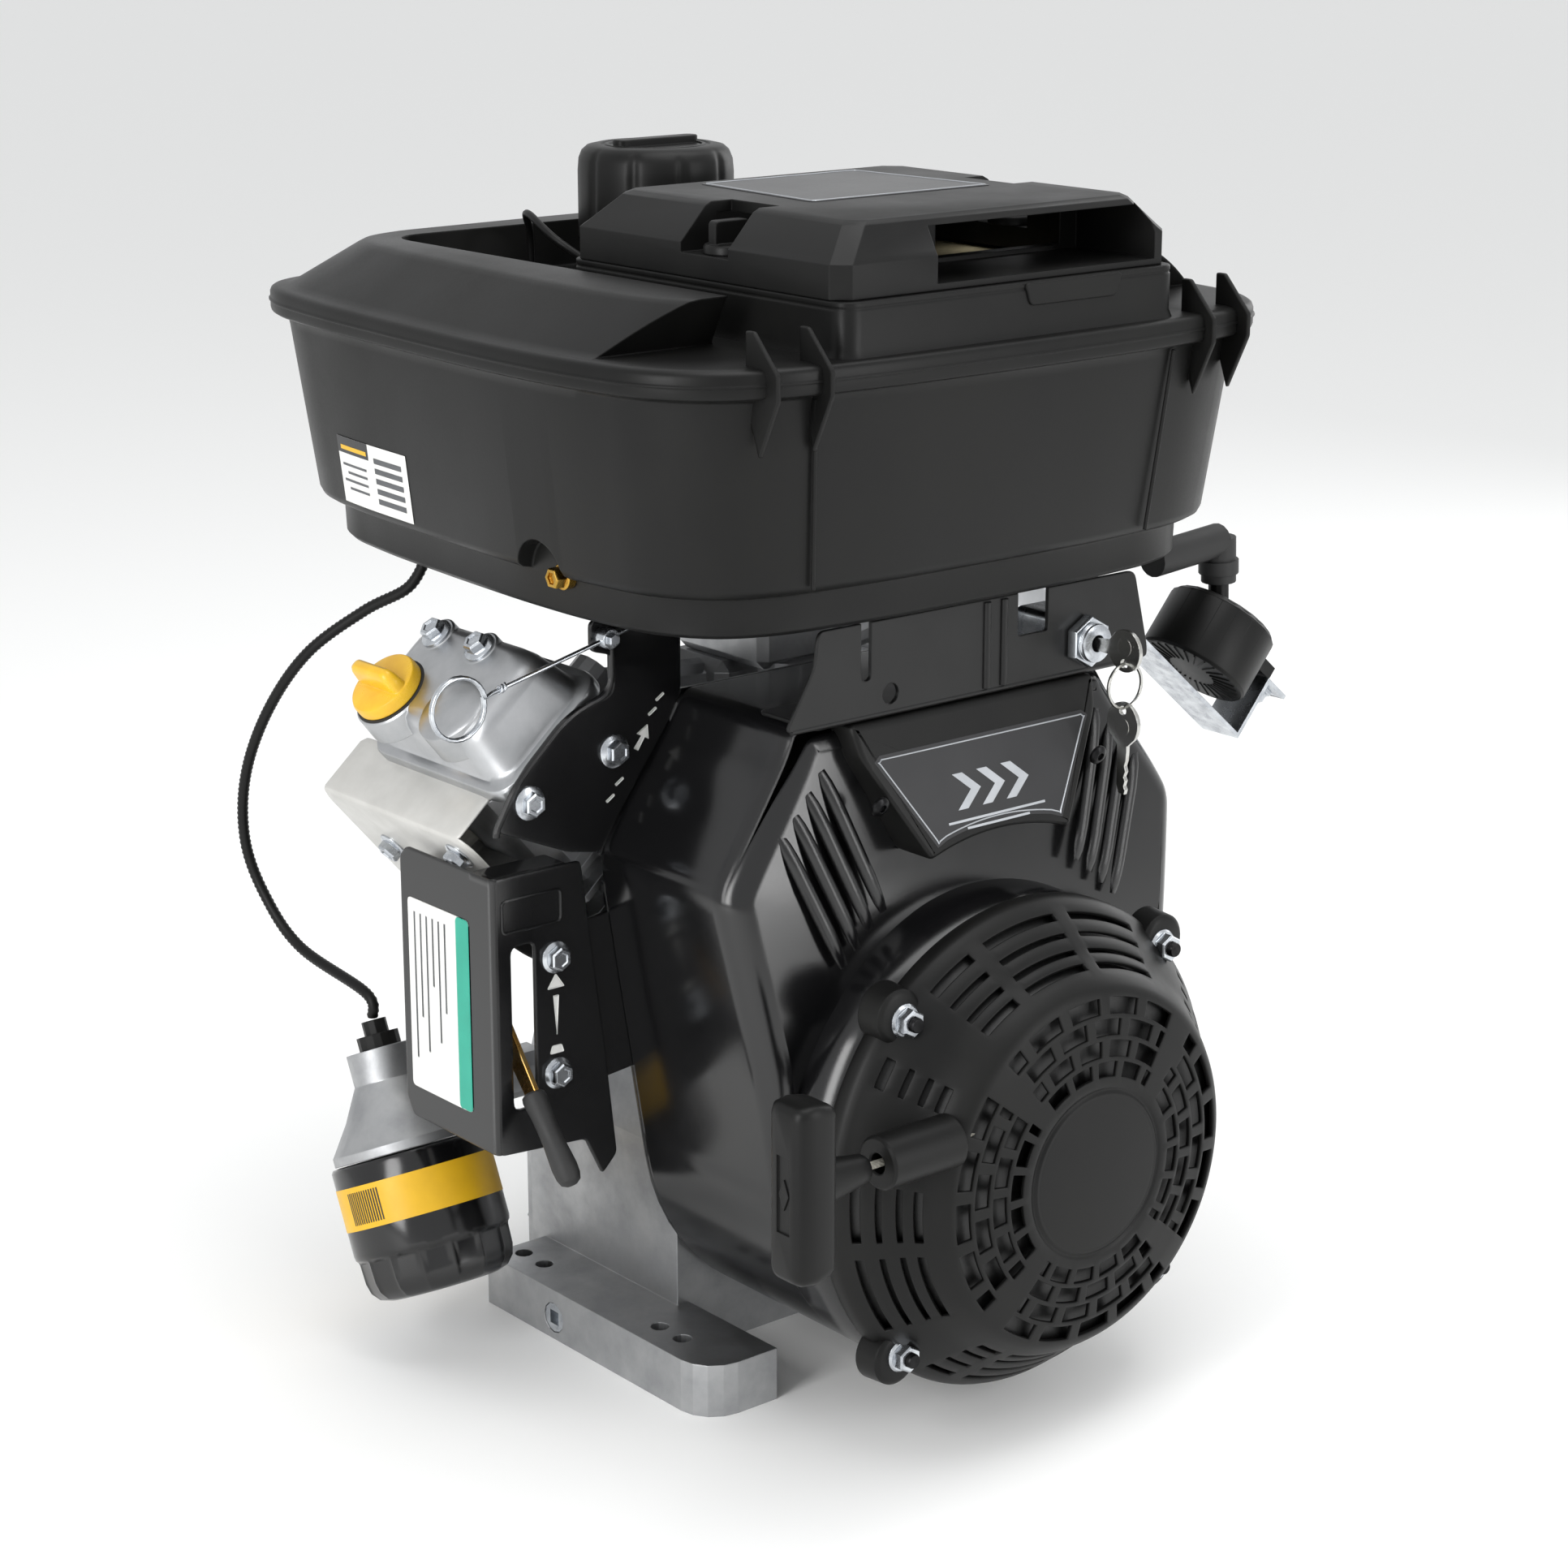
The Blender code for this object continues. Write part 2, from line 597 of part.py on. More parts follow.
def make_crankshaft():
    """Shaft along Y with two webs, the shared crankpin, its gear and the starter cup."""
    profile = [(0, -212 * MM), (7 * MM, -212 * MM), (7 * MM, -176 * MM), (11 * MM, -165 * MM)]
    profile += [(16 * MM, -128 * MM), (16 * MM, 22 * MM), (0, 22 * MM)]
    shaft = turned(profile, (0, 0, CRANK_Z), (0, 1, 0), 20)
    shaft = solid("crankshaft", shaft, "forged_steel", CRANK_AT)
    tail = [(0, 62 * MM), (16 * MM, 62 * MM), (16 * MM, 134 * MM), (12.7 * MM, 135 * MM)]
    tail += [(12.7 * MM, 205 * MM), (11.7 * MM, 206 * MM), (0, 206 * MM)]
    join(shaft, turned(tail, (0, 0, CRANK_Z), (0, 1, 0), 20))
    for y in (10 * MM, 62 * MM):
        web = [*arc((0, 0), 48 * MM, 205, 335, 8)]
        web += [(20 * MM, 28 * MM), *arc((0, 33 * MM), 17 * MM, 20, 160, 4), (-20 * MM, 28 * MM)]
        web = [(x, CRANK_Z + z) for x, z in web]
        join(shaft, front_prism(web, y, y + 13 * MM))
    pin_z = CRANK_Z + STROKE / 2
    join(shaft, rod((0, 15 * MM, pin_z), (0, 70 * MM, pin_z), 13.7 * MM, 16))
    join(shaft, gear(16, (0, CRANK_Z), 0.0))
    cup = [(6, -211), (28, -211), (28, -222), (30, -222), (30, -208), (6, -208)]
    join(shaft, shaft_turned(cup, 16))
    low, high = (-3.2 * MM, 160 * MM, CRANK_Z + 9.5 * MM), (3.2 * MM, 0.24, CRANK_Z + 0.02)
    cut(shaft, box(low, high))
    cut(shaft, rod((0, 185 * MM, CRANK_Z), (0, 0.24, CRANK_Z), 4.2 * MM, 8))


def gear(teeth, centre, phase):
    """A spur gear with straight-flanked teeth, with its axis along Y."""
    pitch = GEAR_MODULE * teeth / 2
    outer, root = pitch + 0.75 * GEAR_MODULE, pitch - 1.2 * GEAR_MODULE
    outline = []
    for i in range(teeth):
        for radius, share in ((root, -0.3), (outer, -0.1), (outer, 0.1), (root, 0.3)):
            angle = 2 * math.pi * (i + phase + share) / teeth
            x = centre[0] + radius * math.sin(angle)
            outline.append((x, centre[1] + radius * math.cos(angle)))
    return front_prism(outline, *GEAR_Y)


def make_timing():
    """Camshaft with four lobes and its gear, which the crankshaft's gear turns."""
    start, end = (0, CAVITY_Y - 5 * MM, CAM_Z), (0, CASE_Y[1] + 5 * MM, CAM_Z)
    shaft = solid("camshaft", rod(start, end, 7.8 * MM, 16), "forged_steel", (0, 42 * MM, CAM_Z))
    for i, y in enumerate((6, 26, 46, 66)):
        turn = 60 + 90 * i
        tip = (7 * MM * math.cos(math.radians(turn)), 7 * MM * math.sin(math.radians(turn)))
        lobe = arc((0, 0), 10 * MM, turn + 110, turn + 250, 4)
        lobe += arc(tip, 5 * MM, turn - 60, turn + 60, 2)
        lobe = [(x, CAM_Z + z) for x, z in lobe]
        join(shaft, front_prism(lobe, y * MM, (y + 9) * MM))
    join(shaft, gear(32, (0, CAM_Z), 0.5))


def make_flywheel():
    """Flywheel, fan, and the screen that turns in front of it."""
    profile = [(16.3, -118), (28, -118), (30, -100), (92, -100), (92, -62), (80, -62)]
    profile += [(80, -90), (30, -90), (30, -72), (16.3, -72)]
    solid("flywheel", shaft_turned(profile, 24), "cast_aluminium", CRANK_AT)
    profile = [(31, -104), (108, -104), (108, -100.4), (31, -100.4)]
    fan = solid("cooling_fan", shaft_turned(profile, 24), "black_plastic", CRANK_AT)
    blades = bmesh.new()
    for i in range(12):
        low, high = (62 * MM, -150 * MM, -1.2 * MM), (106 * MM, -102 * MM, 1.2 * MM)
        blade = box(low, high)
        blade.transform(Matrix.Rotation(2 * math.pi * i / 12, 4, "Y"))
        blade.transform(Matrix.Translation((0, 0, CRANK_Z)))
        merge_into(blades, blade)
    join(fan, blades)
    profile = [(34, -208), (60, -208), (110, -193), (110, -190.6), (60, -206), (34, -206)]
    screen = solid("rotating_screen", shaft_turned(profile, 24), "black_plastic", CRANK_AT)
    for i in range(3):
        turn = math.radians(120 * i + 11.25)
        x, z = 50 * MM * math.cos(turn), CRANK_Z + 50 * MM * math.sin(turn)
        join(screen, rod((x, -206.5 * MM, z), (x, -104.4 * MM, z), 3.5 * MM, 8))


def shaft_turned(profile, steps):
    """Turns a profile of (radius, y), both in mm, round the crankshaft's axis."""
    return turned([(r * MM, y * MM) for r, y in profile], (0, 0, CRANK_Z), (0, 1, 0), steps)


# ---------------------------------------------------------------- blower housing and recoil


def housing_outline(inset=0.0):
    """The housing seen from the front: a ring round the crank with an arm to each bank."""
    left = arc((0, CRANK_Z), HOUSING_R - inset, 270, 190, 12)
    left += [(-157 * MM + inset, 286 * MM), (-160 * MM + inset, 306 * MM)]
    left += [(-150 * MM + inset, 322 * MM - inset / 2), (-114 * MM + inset, 371 * MM - inset / 2)]
    left += [(-106 * MM + inset, 386 * MM - inset)]
    return left + [(-x, z) for x, z in reversed(left[1:])]


def trim_outline(inset=0.0):
    """The plate between the arms, with its lower edge round the recoil cover."""
    bottom = arc((0, CRANK_Z), 167 * MM + inset, 107, 73, 8)
    left = [(-86 * MM + inset, 386.2 * MM), (-83 * MM + inset, 368 * MM)]
    return left + bottom + [(-x, z) for x, z in reversed(left)]


def make_housing():
    outline = housing_outline()
    depth = (HOUSING_STEP, HOUSING_BACK)
    housing = solid("blower_housing", front_prism(outline, *depth), "black_enamel")
    ring = [(100, -156), (130.6, -156), (130.6, -173), (126, -186), (120, -190), (100, -190)]
    join(housing, shaft_turned(ring, 32))
    cut(housing, front_prism(housing_outline(SHEET), -147 * MM, -30 * MM))
    hollow = [(90, -187.5), (118, -187.5), (123, -184), (127.5, -172), (127.5, -140), (90, -140)]
    cut(housing, shaft_turned(hollow, 32))
    cut(housing, rod((0, -0.2, CRANK_Z), (0, -0.141, CRANK_Z), 112 * MM, 29))
    recess = trim_outline()
    recess = [(recess[0][0], 400 * MM), *recess, (recess[-1][0], 400 * MM)]
    cut(housing, front_prism(recess, -200 * MM, -150 * MM))
    ribs = bmesh.new()
    for sign in (-1, 1):
        for i in range(4):
            shift = i * 11 * MM
            y = HOUSING_STEP + 0.9 * MM
            start = Vector((sign * (128 * MM - shift), y, 330 * MM - shift * 0.35))
            end = Vector((sign * (104 * MM - shift * 0.4), y, 262 * MM + shift * 1.2))
            merge_into(ribs, rod(start, end, 3.4 * MM, 8))
    join(housing, ribs)


def make_trim_panel():
    mesh = front_prism(trim_outline(0.4 * MM), -165 * MM, -150.3 * MM)
    for vert in mesh.verts:
        if vert.co.y < -160 * MM:
            lean = (vert.co.z - 315 * MM) / (52 * MM)
            vert.co.y = max(-178 * MM + 16 * MM * lean, -178 * MM)
    panel = solid("trim_panel", mesh, "black_plastic")
    way = Vector((0, -52, -16)).normalized()
    seats = []
    for x, z in ((-66 * MM, 352 * MM), (66 * MM, 352 * MM)):
        y = -178 * MM + 16 * MM * (z - 315 * MM) / (52 * MM)
        seats.append(((x, y, z), way))
    add_bolts(panel, seats, 3.4 * MM, 3.2 * MM, 5 * MM)


def make_backing_plate():
    """Flat plate behind the fan, with air holes to the barrels and a tab for the panel."""
    plate = front_prism(housing_outline(0.0), *PLATE_Y)
    plate = solid("backing_plate", plate, "black_enamel")
    tab = [(-130, 185), (-200, 178), (-200, 268), (-140, 275)]
    join(plate, front_prism([(x * MM, z * MM) for x, z in tab], *PLATE_Y))
    tab = [(-100, 372), (-165, 371), (-165, 345), (-130, 310)]
    join(plate, front_prism([(x * MM, z * MM) for x, z in tab], *PLATE_Y))
    cut(plate, rod((0, -0.06, CRANK_Z), (0, -0.03, CRANK_Z), 40 * MM, 24))
    for side in SIDES:
        bank = Bank(side)
        near = (-60 * MM - bank.y, -20 * MM - bank.y)
        cut(plate, bank.block((105 * MM, 220 * MM), (-28 * MM, 28 * MM), near))


def make_recoil():
    """Recoil cover with its slots and rope mouth, held by four nuts on studs."""
    shell = [(0, -254), (45, -254), (48, -252), (98, -248), (112, -225), (129, -206)]
    shell += [(134, -200), (134, -190.3), (131, -190.3), (131, -198), (127, -204)]
    shell += [(109, -223), (96, -245.4), (48, -249.4), (45, -251.4), (0, -251.4)]
    cover = solid("recoil_cover", shaft_turned(shell, 32), "black_plastic")
    y = ROPE_Y
    z = CRANK_Z + ROPE_R
    join(cover, rod((-92 * MM, y, z), (-139 * MM, y, z), 14 * MM, 20))
    join(cover, rod((0, -252.5 * MM, CRANK_Z), (0, -224 * MM, CRANK_Z), 6 * MM, 12))
    lugs = bmesh.new()
    for sign_x in (-1, 1):
        for sign_z in (-1, 1):
            place = Vector((sign_x * 94 * MM, 0, CRANK_Z + sign_z * 94 * MM))
            front = place + Vector((0, -205 * MM, 0))
            lug = rod(front, place + Vector((0, -190.3 * MM, 0)), 13 * MM, 12)
            merge_into(lugs, lug)
    join(cover, lugs)
    slots = bmesh.new()
    for low, high, count in ((116, 127, 16), (64, 92, 12)):
        for i in range(count):
            turn = 2 * math.pi * (i + 0.5) / count
            if 36 < math.degrees(turn) % 90 < 54 or (low > 100 and 155 < math.degrees(turn) < 180):
                continue
            wide = 0.3 * low * 2 * math.pi / count
            slot = box((low * MM, -0.27, -wide * MM), (high * MM, -0.197, wide * MM))
            slot.transform(Matrix.Rotation(-turn, 4, "Y"))
            slot.transform(Matrix.Translation((0, 0, CRANK_Z)))
            merge_into(slots, slot)
    cut(cover, slots)
    cut(cover, rod((-0.06, y, z), (-0.15, y, z), 4.5 * MM, 12))
    seats = []
    for sign_x in (-1, 1):
        for sign_z in (-1, 1):
            seats.append(((sign_x * 92 * MM, -205 * MM, CRANK_Z + sign_z * 92 * MM), (0, -1, 0)))
    add_bolts(cover, seats, 7.5 * MM, 9 * MM, 9 * MM)


def make_rope_parts():
    """Pulley, its flat spring, the rope and the T-shaped handle."""
    y = -ROPE_Y / MM
    groove = [(6.3, -y - 6.5), (42, -y - 6.5), (42, -y - 4), (36, -y - 1.5), (36, -y + 1.5)]
    groove += [(42, -y + 4), (42, -y + 6.5), (6.3, -y + 6.5)]
    at = (0, ROPE_Y, CRANK_Z)
    solid("recoil_pulley", shaft_turned(groove, 20), "black_plastic", at)
    profile = [(10, -233.6), (36, -233.6), (36, -228), (34, -228), (34, -232), (10, -232)]
    solid("rewind_spring", shaft_turned(profile, 16), "forged_steel")
    z = CRANK_Z + ROPE_R
    rope = rod((-38 * MM, ROPE_Y, z), (-147 * MM, ROPE_Y, z), 2 * MM, 10)
    turn = Matrix.Rotation(math.radians(90), 4, "Y")
    rope.transform(turn @ Matrix.Translation((38 * MM, -ROPE_Y, -z)))
    rope = solid("starter_rope", rope, "nylon_rope")
    rope.rotation_euler = (0, math.radians(-90), 0)
    rope.location = (-38 * MM, ROPE_Y, z)
    x = -188 * MM
    low = (x - 13 * MM, ROPE_Y - 15 * MM, z - 47 * MM)
    high = (x + 11 * MM, ROPE_Y + 12 * MM, z + 47 * MM)
    handle = box(low, high, 6 * MM, 2)
    handle = solid("starter_handle", handle, "black_plastic", (x, ROPE_Y, z))
    join(handle, rod((x, ROPE_Y, z), (-147.4 * MM, ROPE_Y, z), 10 * MM, 16, 6 * MM))


# ---------------------------------------------------------------- controls on the left


def make_control_panel():
    front = [(-230, 155), (-174, 151), (-163, 128), (-153, 138), (-160, 200), (-174, 306), (-230, 306)]
    front = [(x * MM, z * MM) for x, z in front]
    panel = front_prism(front, PANEL_Y, PANEL_Y + 2 * MM)
    panel = solid("control_panel", panel, "black_enamel")
    side = [(-45, 155), (34, 155), (40, 165), (40, 300), (34, 306), (-45, 306)]
    join(panel, side_prism([(y * MM, z * MM) for y, z in side], PANEL_X, PANEL_X + 2 * MM))
    roof = box((PANEL_X, PANEL_Y, 304 * MM), (-182 * MM, -24 * MM, 306 * MM))
    join(panel, roof)
    pivot = Vector(LEVER_AT)
    join(panel, rod((PANEL_X + 1 * MM, *pivot[1:]), (-214 * MM, *pivot[1:]), 5 * MM, 12))
    slot = box((-219.5 * MM, -60 * MM, 178 * MM), (-204.5 * MM, -40 * MM, 268 * MM), 4 * MM, 2, along_y)
    cut(panel, slot)
    add_bolts(panel, [((-191.5 * MM, PANEL_Y, z * MM), (0, -1, 0)) for z in (257, 193)])


def make_throttle():
    """Lever strip through the panel's slot, with its grip, resting 50 degrees down."""
    down = math.radians(50)
    way = Vector((0, -math.cos(down), -math.sin(down)))
    side = Vector((0, math.sin(down), -math.cos(down)))
    pivot = Vector(LEVER_AT)
    outline = [
        pivot - way * 9 * MM - side * 6 * MM,
        pivot - way * 9 * MM + side * 6 * MM,
        pivot + way * 30 * MM + side * 7 * MM,
        pivot + way * 78 * MM + side * 5 * MM,
        pivot + way * 78 * MM - side * 5 * MM,
        pivot + way * 30 * MM - side * 7 * MM,
    ]
    strip = prism(outline, (-1.5 * MM, 0, 0), (3 * MM, 0, 0))
    solid("throttle_lever", strip, "yellow_zinc", LEVER_AT)
    profile = [(0, 0), (5.4, 0), (6.6, 3), (5.7, 20), (6.8, 42), (5, 50), (0, 52)]
    grip = turned([(r * MM, h * MM) for r, h in profile], pivot + way * 72 * MM, way, 16)
    grip = solid("throttle_grip", grip, "rubber", LEVER_AT)
    pocket = [
        pivot + way * 71 * MM + side * 5.4 * MM,
        pivot + way * 78.6 * MM + side * 5.4 * MM,
        pivot + way * 78.6 * MM - side * 5.4 * MM,
        pivot + way * 71 * MM - side * 5.4 * MM,
    ]
    cut(grip, prism(pocket, (-1.8 * MM, 0, 0), (3.6 * MM, 0, 0)))


def make_choke():
    """Sheet bracket under the tank, and the pull wire with its ring."""
    y0 = PLATE_Y[0] - 2.6 * MM
    y1 = PLATE_Y[0] - GAP
    outline = [(-107.3, 432), (-107.3, 386.8), (-115.2, 371.8), (-151.3, 323), (-162, 308)]
    outline += [(-182, 312), (-226, 331), (-212, 355), (-180, 384), (-152, 392)]
    outline += [(-152, 412), (-166, 416), (-166, 432)]
    plate = front_prism([(x * MM, z * MM) for x, z in outline], y0, y1)
    plate = solid("choke_bracket", plate, "black_enamel")
    way = (Vector(CHOKE_RING) - Vector(CHOKE_END)).normalized()
    end = Vector(CHOKE_END)
    post = end - way * 8 * MM
    join(plate, rod(post - Vector((0, 3.4 * MM, 0)), post + Vector((0, 6.5 * MM, 0)), 5 * MM, 10))
    cut(plate, rod(post - way * 9 * MM, post + way * 9 * MM, 1.5 * MM, 8))
    places = ((-152, 361), (-206, 343))
    add_bolts(plate, [((x * MM, y0, z * MM), (0, -1, 0)) for x, z in places])
    ring = Vector(CHOKE_RING)
    wire = rod(end + way * -34 * MM, ring - way * 16 * MM, 1.1 * MM, 8)
    pull = solid("choke_pull", wire, "zinc_steel", CHOKE_END)
    centre = ring
    loop = torus(centre, (0, 1, 0), 16 * MM, 1.6 * MM, 16, 6)
    join(pull, loop)


# ---------------------------------------------------------------- switch and keys


def make_switch():
    outline = [(-127, 388.2), (127, 388.2), (127, 392), (116, 437.4), (-106, 437.4), (-106, 420)]
    outline = [(x * MM, z * MM) for x, z in outline]
    plate = front_prism(outline, -155 * MM, -152.5 * MM)
    plate = solid("switch_bracket", plate, "black_enamel")
    join(plate, box((-108 * MM, -155 * MM, 386.4 * MM), (108 * MM, -110 * MM, 388.6 * MM)))
    x, z = KEY_AT[0], KEY_AT[2]
    cut(plate, rod((x, -0.17, z), (x, -0.13, z), 11 * MM, 16))
    cut(plate, box((-78 * MM, -0.16, 408 * MM), (-72 * MM, -0.14, 445 * MM)))
    cut(plate, box((30 * MM, -0.16, 412 * MM), (52 * MM, -0.14, 445 * MM)))
    cut(plate, rod((-58 * MM, -0.16, 398 * MM), (-58 * MM, -0.14, 398 * MM), 6 * MM, 10))
    body = box((x - 16 * MM, -150 * MM, 390 * MM), (x + 16 * MM, -118 * MM, 422 * MM), 3 * MM, 1)
    switch = solid("ignition_switch", body, "zinc_steel")
    join(switch, rod((x, -0.149, z), (x, -0.167, z), 10.5 * MM, 20))
    cut(switch, rod((x, -0.17, z), (x, -0.145, z), 4.4 * MM, 12))
    profile = [(10.8, 155.3), (14, 155.3), (14, 162), (10.8, 162)]
    profile = [(r * MM, h * MM) for r, h in profile]
    nut = turned(profile, (x, 0, z), (0, -1, 0), 6)
    join(switch, nut)
    key("ignition_key", KEY_AT, (0, 1, 0), (0, 0, -1))


def key(name, centre, blade_way, hole_way):
    """A flat key lying in the YZ plane: round head, blade, and a hole for the ring."""
    centre, blade_way = Vector(centre), Vector(blade_way)
    side = Vector((1, 0, 0))
    head = rod(centre - side * 1.3 * MM, centre + side * 1.3 * MM, 11.5 * MM, 20)
    thing = solid(name, head, "zinc_steel", centre)
    cross = side.cross(blade_way)
    start, end = centre + blade_way * 8 * MM, centre + blade_way * 39 * MM
    corners = [start - cross * 3.6 * MM, start + cross * 3.6 * MM]
    corners += [end + cross * 2 * MM, end - cross * 3.6 * MM]
    join(thing, prism(corners, (-1 * MM, 0, 0), (2 * MM, 0, 0)))
    hole = centre + Vector(hole_way) * 7 * MM
    cut(thing, rod(hole - side * 3 * MM, hole + side * 3 * MM, 2.5 * MM, 12))
    return hole


def make_key_ring():
    """Ring through both keys' holes, with the spare key hanging below."""
    pivot = Vector((KEY_AT[0], KEY_AT[1], KEY_AT[2] - 7 * MM))
    centre = pivot - Vector((0, 0, 12 * MM))
    ring = torus(centre, (0, 1, 0), 12 * MM, 0.9 * MM, 16, 6)
    solid("key_ring", ring, "zinc_steel", pivot)
    low = centre - Vector((0, 0, 12 * MM + 1.2 * MM + 7 * MM))
    key("spare_key", low, (0, 0, -1), (0, 0, 1))


# ---------------------------------------------------------------- tank, cap and air cleaner


def tank_plan(inset, z):
    """One closed section of the tank: the plan outline drawn in by `inset` at height z."""
    half = [(0, -193), (80, -192), (150, -185), (180, -172), (200, -150), (212, -120)]
    half += [(216, -60), (216, -20), (212, 50), (205, 140), (196, 200), (180, 232), (150, 246)]
    points = half + [(0, 250)] + [(-x, y) for x, y in reversed(half[1:])]
    sx = 1 - inset / 216
    sy = 1 - inset / 221.5
    return [(x * sx * MM, (28.5 + (y - 28.5) * sy) * MM, z * MM) for x, y in points]


def make_tank():
    """Hollow tank with a sunken deck, filler neck, air cleaner box and its down duct."""
    levels = [(32, 438.3), (30, 459), (20, 462), (6, 561), (0, 563), (0, 575), (8, 577)]
    levels += [(44, 603)]
    tank = solid("fuel_tank", loft([tank_plan(*level) for level in levels]), "black_plastic")
    recess = box((-133 * MM, -0.3, DECK_Z), (133 * MM, 178 * MM, 0.62), 20 * MM, 3, upright)
    cut(tank, recess)
    hump_ends = [(-0.2, DECK_Z), (-0.104, DECK_Z), (-0.125, 0.61), (-0.2, 0.61)]
    cut(tank, side_prism(hump_ends, -0.23, 0.23))
    hollow = [(35, 441.3), (33, 460), (23, 463), (9, 561), (9, 572), (12, 573.8)]
    cut(tank, loft([tank_plan(*level) for level in hollow]))
    x, y = CAP_AT
    join(tank, rod((x, y, 572 * MM), (x, y, 630 * MM), 33 * MM, 24))
    cut(tank, rod((x, y, 560 * MM), (x, y, 640 * MM), 29 * MM, 24))
    low, high = (-BOX_HALF, BOX_Y[0], 572 * MM), (BOX_HALF, BOX_Y[1], BOX_TOP)
    join(tank, box(low, high, 8 * MM, 2, upright))
    join(tank, rod((0, 5 * MM, 439 * MM), (0, 5 * MM, 580 * MM), 29 * MM, 20))
    cut(tank, rod((0, 5 * MM, 430 * MM), (0, 5 * MM, 590 * MM), 25 * MM, 20))
    low, high = (-101 * MM, -170 * MM, 583 * MM), (101 * MM, 28 * MM, 615 * MM)
    cut(tank, box(low, high, 5 * MM, 1, upright))
    ribs = bmesh.new()
    for rib_x in (-160, -130, 130, 160):
        y_front = -186 if abs(rib_x) > 140 else -190
        outline = [(y_front - 4, 563), (y_front - 4, 575), (y_front + 14, 592)]
        outline += [(y_front + 14, 563), (y_front + 4, 530)]
        outline = [(a * MM, b * MM) for a, b in outline]
        merge_into(ribs, side_prism(outline, (rib_x - 1.2) * MM, (rib_x + 1.2) * MM))
    join(tank, ribs)


def make_fuel_cap():
    x, y = CAP_AT
    profile = [(33.6, 0), (42, 0), (44, 3), (44, 44), (41, 50), (0, 52), (0, 40), (33.6, 40)]
    profile = [(r * MM, h * MM) for r, h in profile]
    base = (x, y, 597 * MM)
    cap = solid("fuel_cap", turned(profile, base, (0, 0, 1), 24), "black_plastic", base)
    bar = box((x - 28 * MM, y - 5 * MM, 646 * MM), (x + 28 * MM, y + 5 * MM, 653 * MM), 3 * MM, 1)
    join(cap, bar)
    route = [(-46, 98, 579), (-47, 99, 584), (-64, 120, 602), (-61, 150, 613)]
    route += [(-48, 166, 600), (-46, 168, 579)]
    tube("cap_tether", [Vector(p) * MM for p in route], 2 * MM, "black_plastic", 12)


def make_air_cleaner():
    element = box((-99 * MM, -168 * MM, 583.4 * MM), (99 * MM, 26 * MM, 602 * MM), 4 * MM, 1)
    solid("air_filter", element, "filter_paper")
    sections = []
    for inset, z in ((0, 604.3), (0, 621), (3, 624), (16, 638), (20, 640)):
        half = 113 - inset
        front, back = -178 + inset * 0.6, 38 - inset
        cut_in = 8
        ring = [(-half, front + cut_in), (cut_in - half, front), (half - cut_in, front)]
        ring += [(half, front + cut_in), (half, back - cut_in), (half - cut_in, back)]
        ring += [(cut_in - half, back), (-half, back - cut_in)]
        sections.append([(a * MM, b * MM, z * MM) for a, b in ring])
    origin = (0, -70 * MM, 604.3 * MM)
    cover = solid("air_cleaner_cover", loft(sections), "black_plastic", origin)
    cut(cover, box((-50 * MM, -0.2, 607.5 * MM), (100 * MM, -120 * MM, 635 * MM)))
    cut(cover, box((-90 * MM, -112 * MM, 0.6), (90 * MM, 20 * MM, 634 * MM)))
    low, high = (0.5 * MM, -0.125, 610 * MM), (88 * MM, -0.1, 632 * MM)
    cut(cover, box(low, high))
    for side, sign in SIDES.items():
        x, y = sign * 97 * MM, -74 * MM
        start = 616 * MM
        pocket = box((x - 17 * MM, y - 19 * MM, start), (x + 30 * MM, y + 19 * MM, 0.66))
        if sign < 0:
            pocket.free()
            pocket = box((x - 30 * MM, y - 19 * MM, start), (x + 17 * MM, y + 19 * MM, 0.66))
        cut(cover, pocket)
        base = (x, y, start + GAP)
        knob = rod(base, (x, y, start + 5 * MM), 13 * MM, 16)
        knob = solid(f"air_knob_{side}", knob, "black_plastic", base)
        low = (x - 11 * MM, y - 2.5 * MM, start + 4 * MM)
        grip = box(low, (x + 11 * MM, y + 2.5 * MM, start + 17 * MM))
        join(knob, grip)


# ---------------------------------------------------------------- intake, oil and side parts


def make_intake():
    """Y-shaped manifold in the V, with the carburettor and its duct up to the tank."""
    low, high = (-32 * MM, 16 * MM, 348 * MM), (32 * MM, 70 * MM, 376 * MM)
    manifold = solid("intake_manifold", box(low, high, 6 * MM, 1), "cast_aluminium")
    for side in SIDES:
        bank = Bank(side)
        port = bank.at(244 * MM, 45.3 * MM, 0)
        knee = bank.at(244 * MM, 56 * MM, 0)
        join(manifold, rod(port, bank.at(244 * MM, 70 * MM, 0), 14 * MM, 14))
        join(manifold, rod(knee, (bank.sign * 20 * MM, 42 * MM, 362 * MM), 11.6 * MM, 11))
        flange = ((229 * MM, 259 * MM), (42.4 * MM, 48 * MM), (-26 * MM, 26 * MM))
        join(manifold, bank.block(*flange))
    low, high = (-27 * MM, -14 * MM, 376.4 * MM), (27 * MM, 64 * MM, 420 * MM)
    carb = solid("carburetor", box(low, high, 5 * MM, 1), "cast_aluminium")
    join(carb, rod((0, 5 * MM, 415 * MM), (0, 5 * MM, 437.7 * MM), 24 * MM, 20))
    join(carb, rod((0, -6 * MM, 352 * MM), (0, -6 * MM, 380 * MM), 19 * MM, 16))
    cut(carb, rod((0, 5 * MM, 395 * MM), (0, 5 * MM, 445 * MM), 19 * MM, 20))


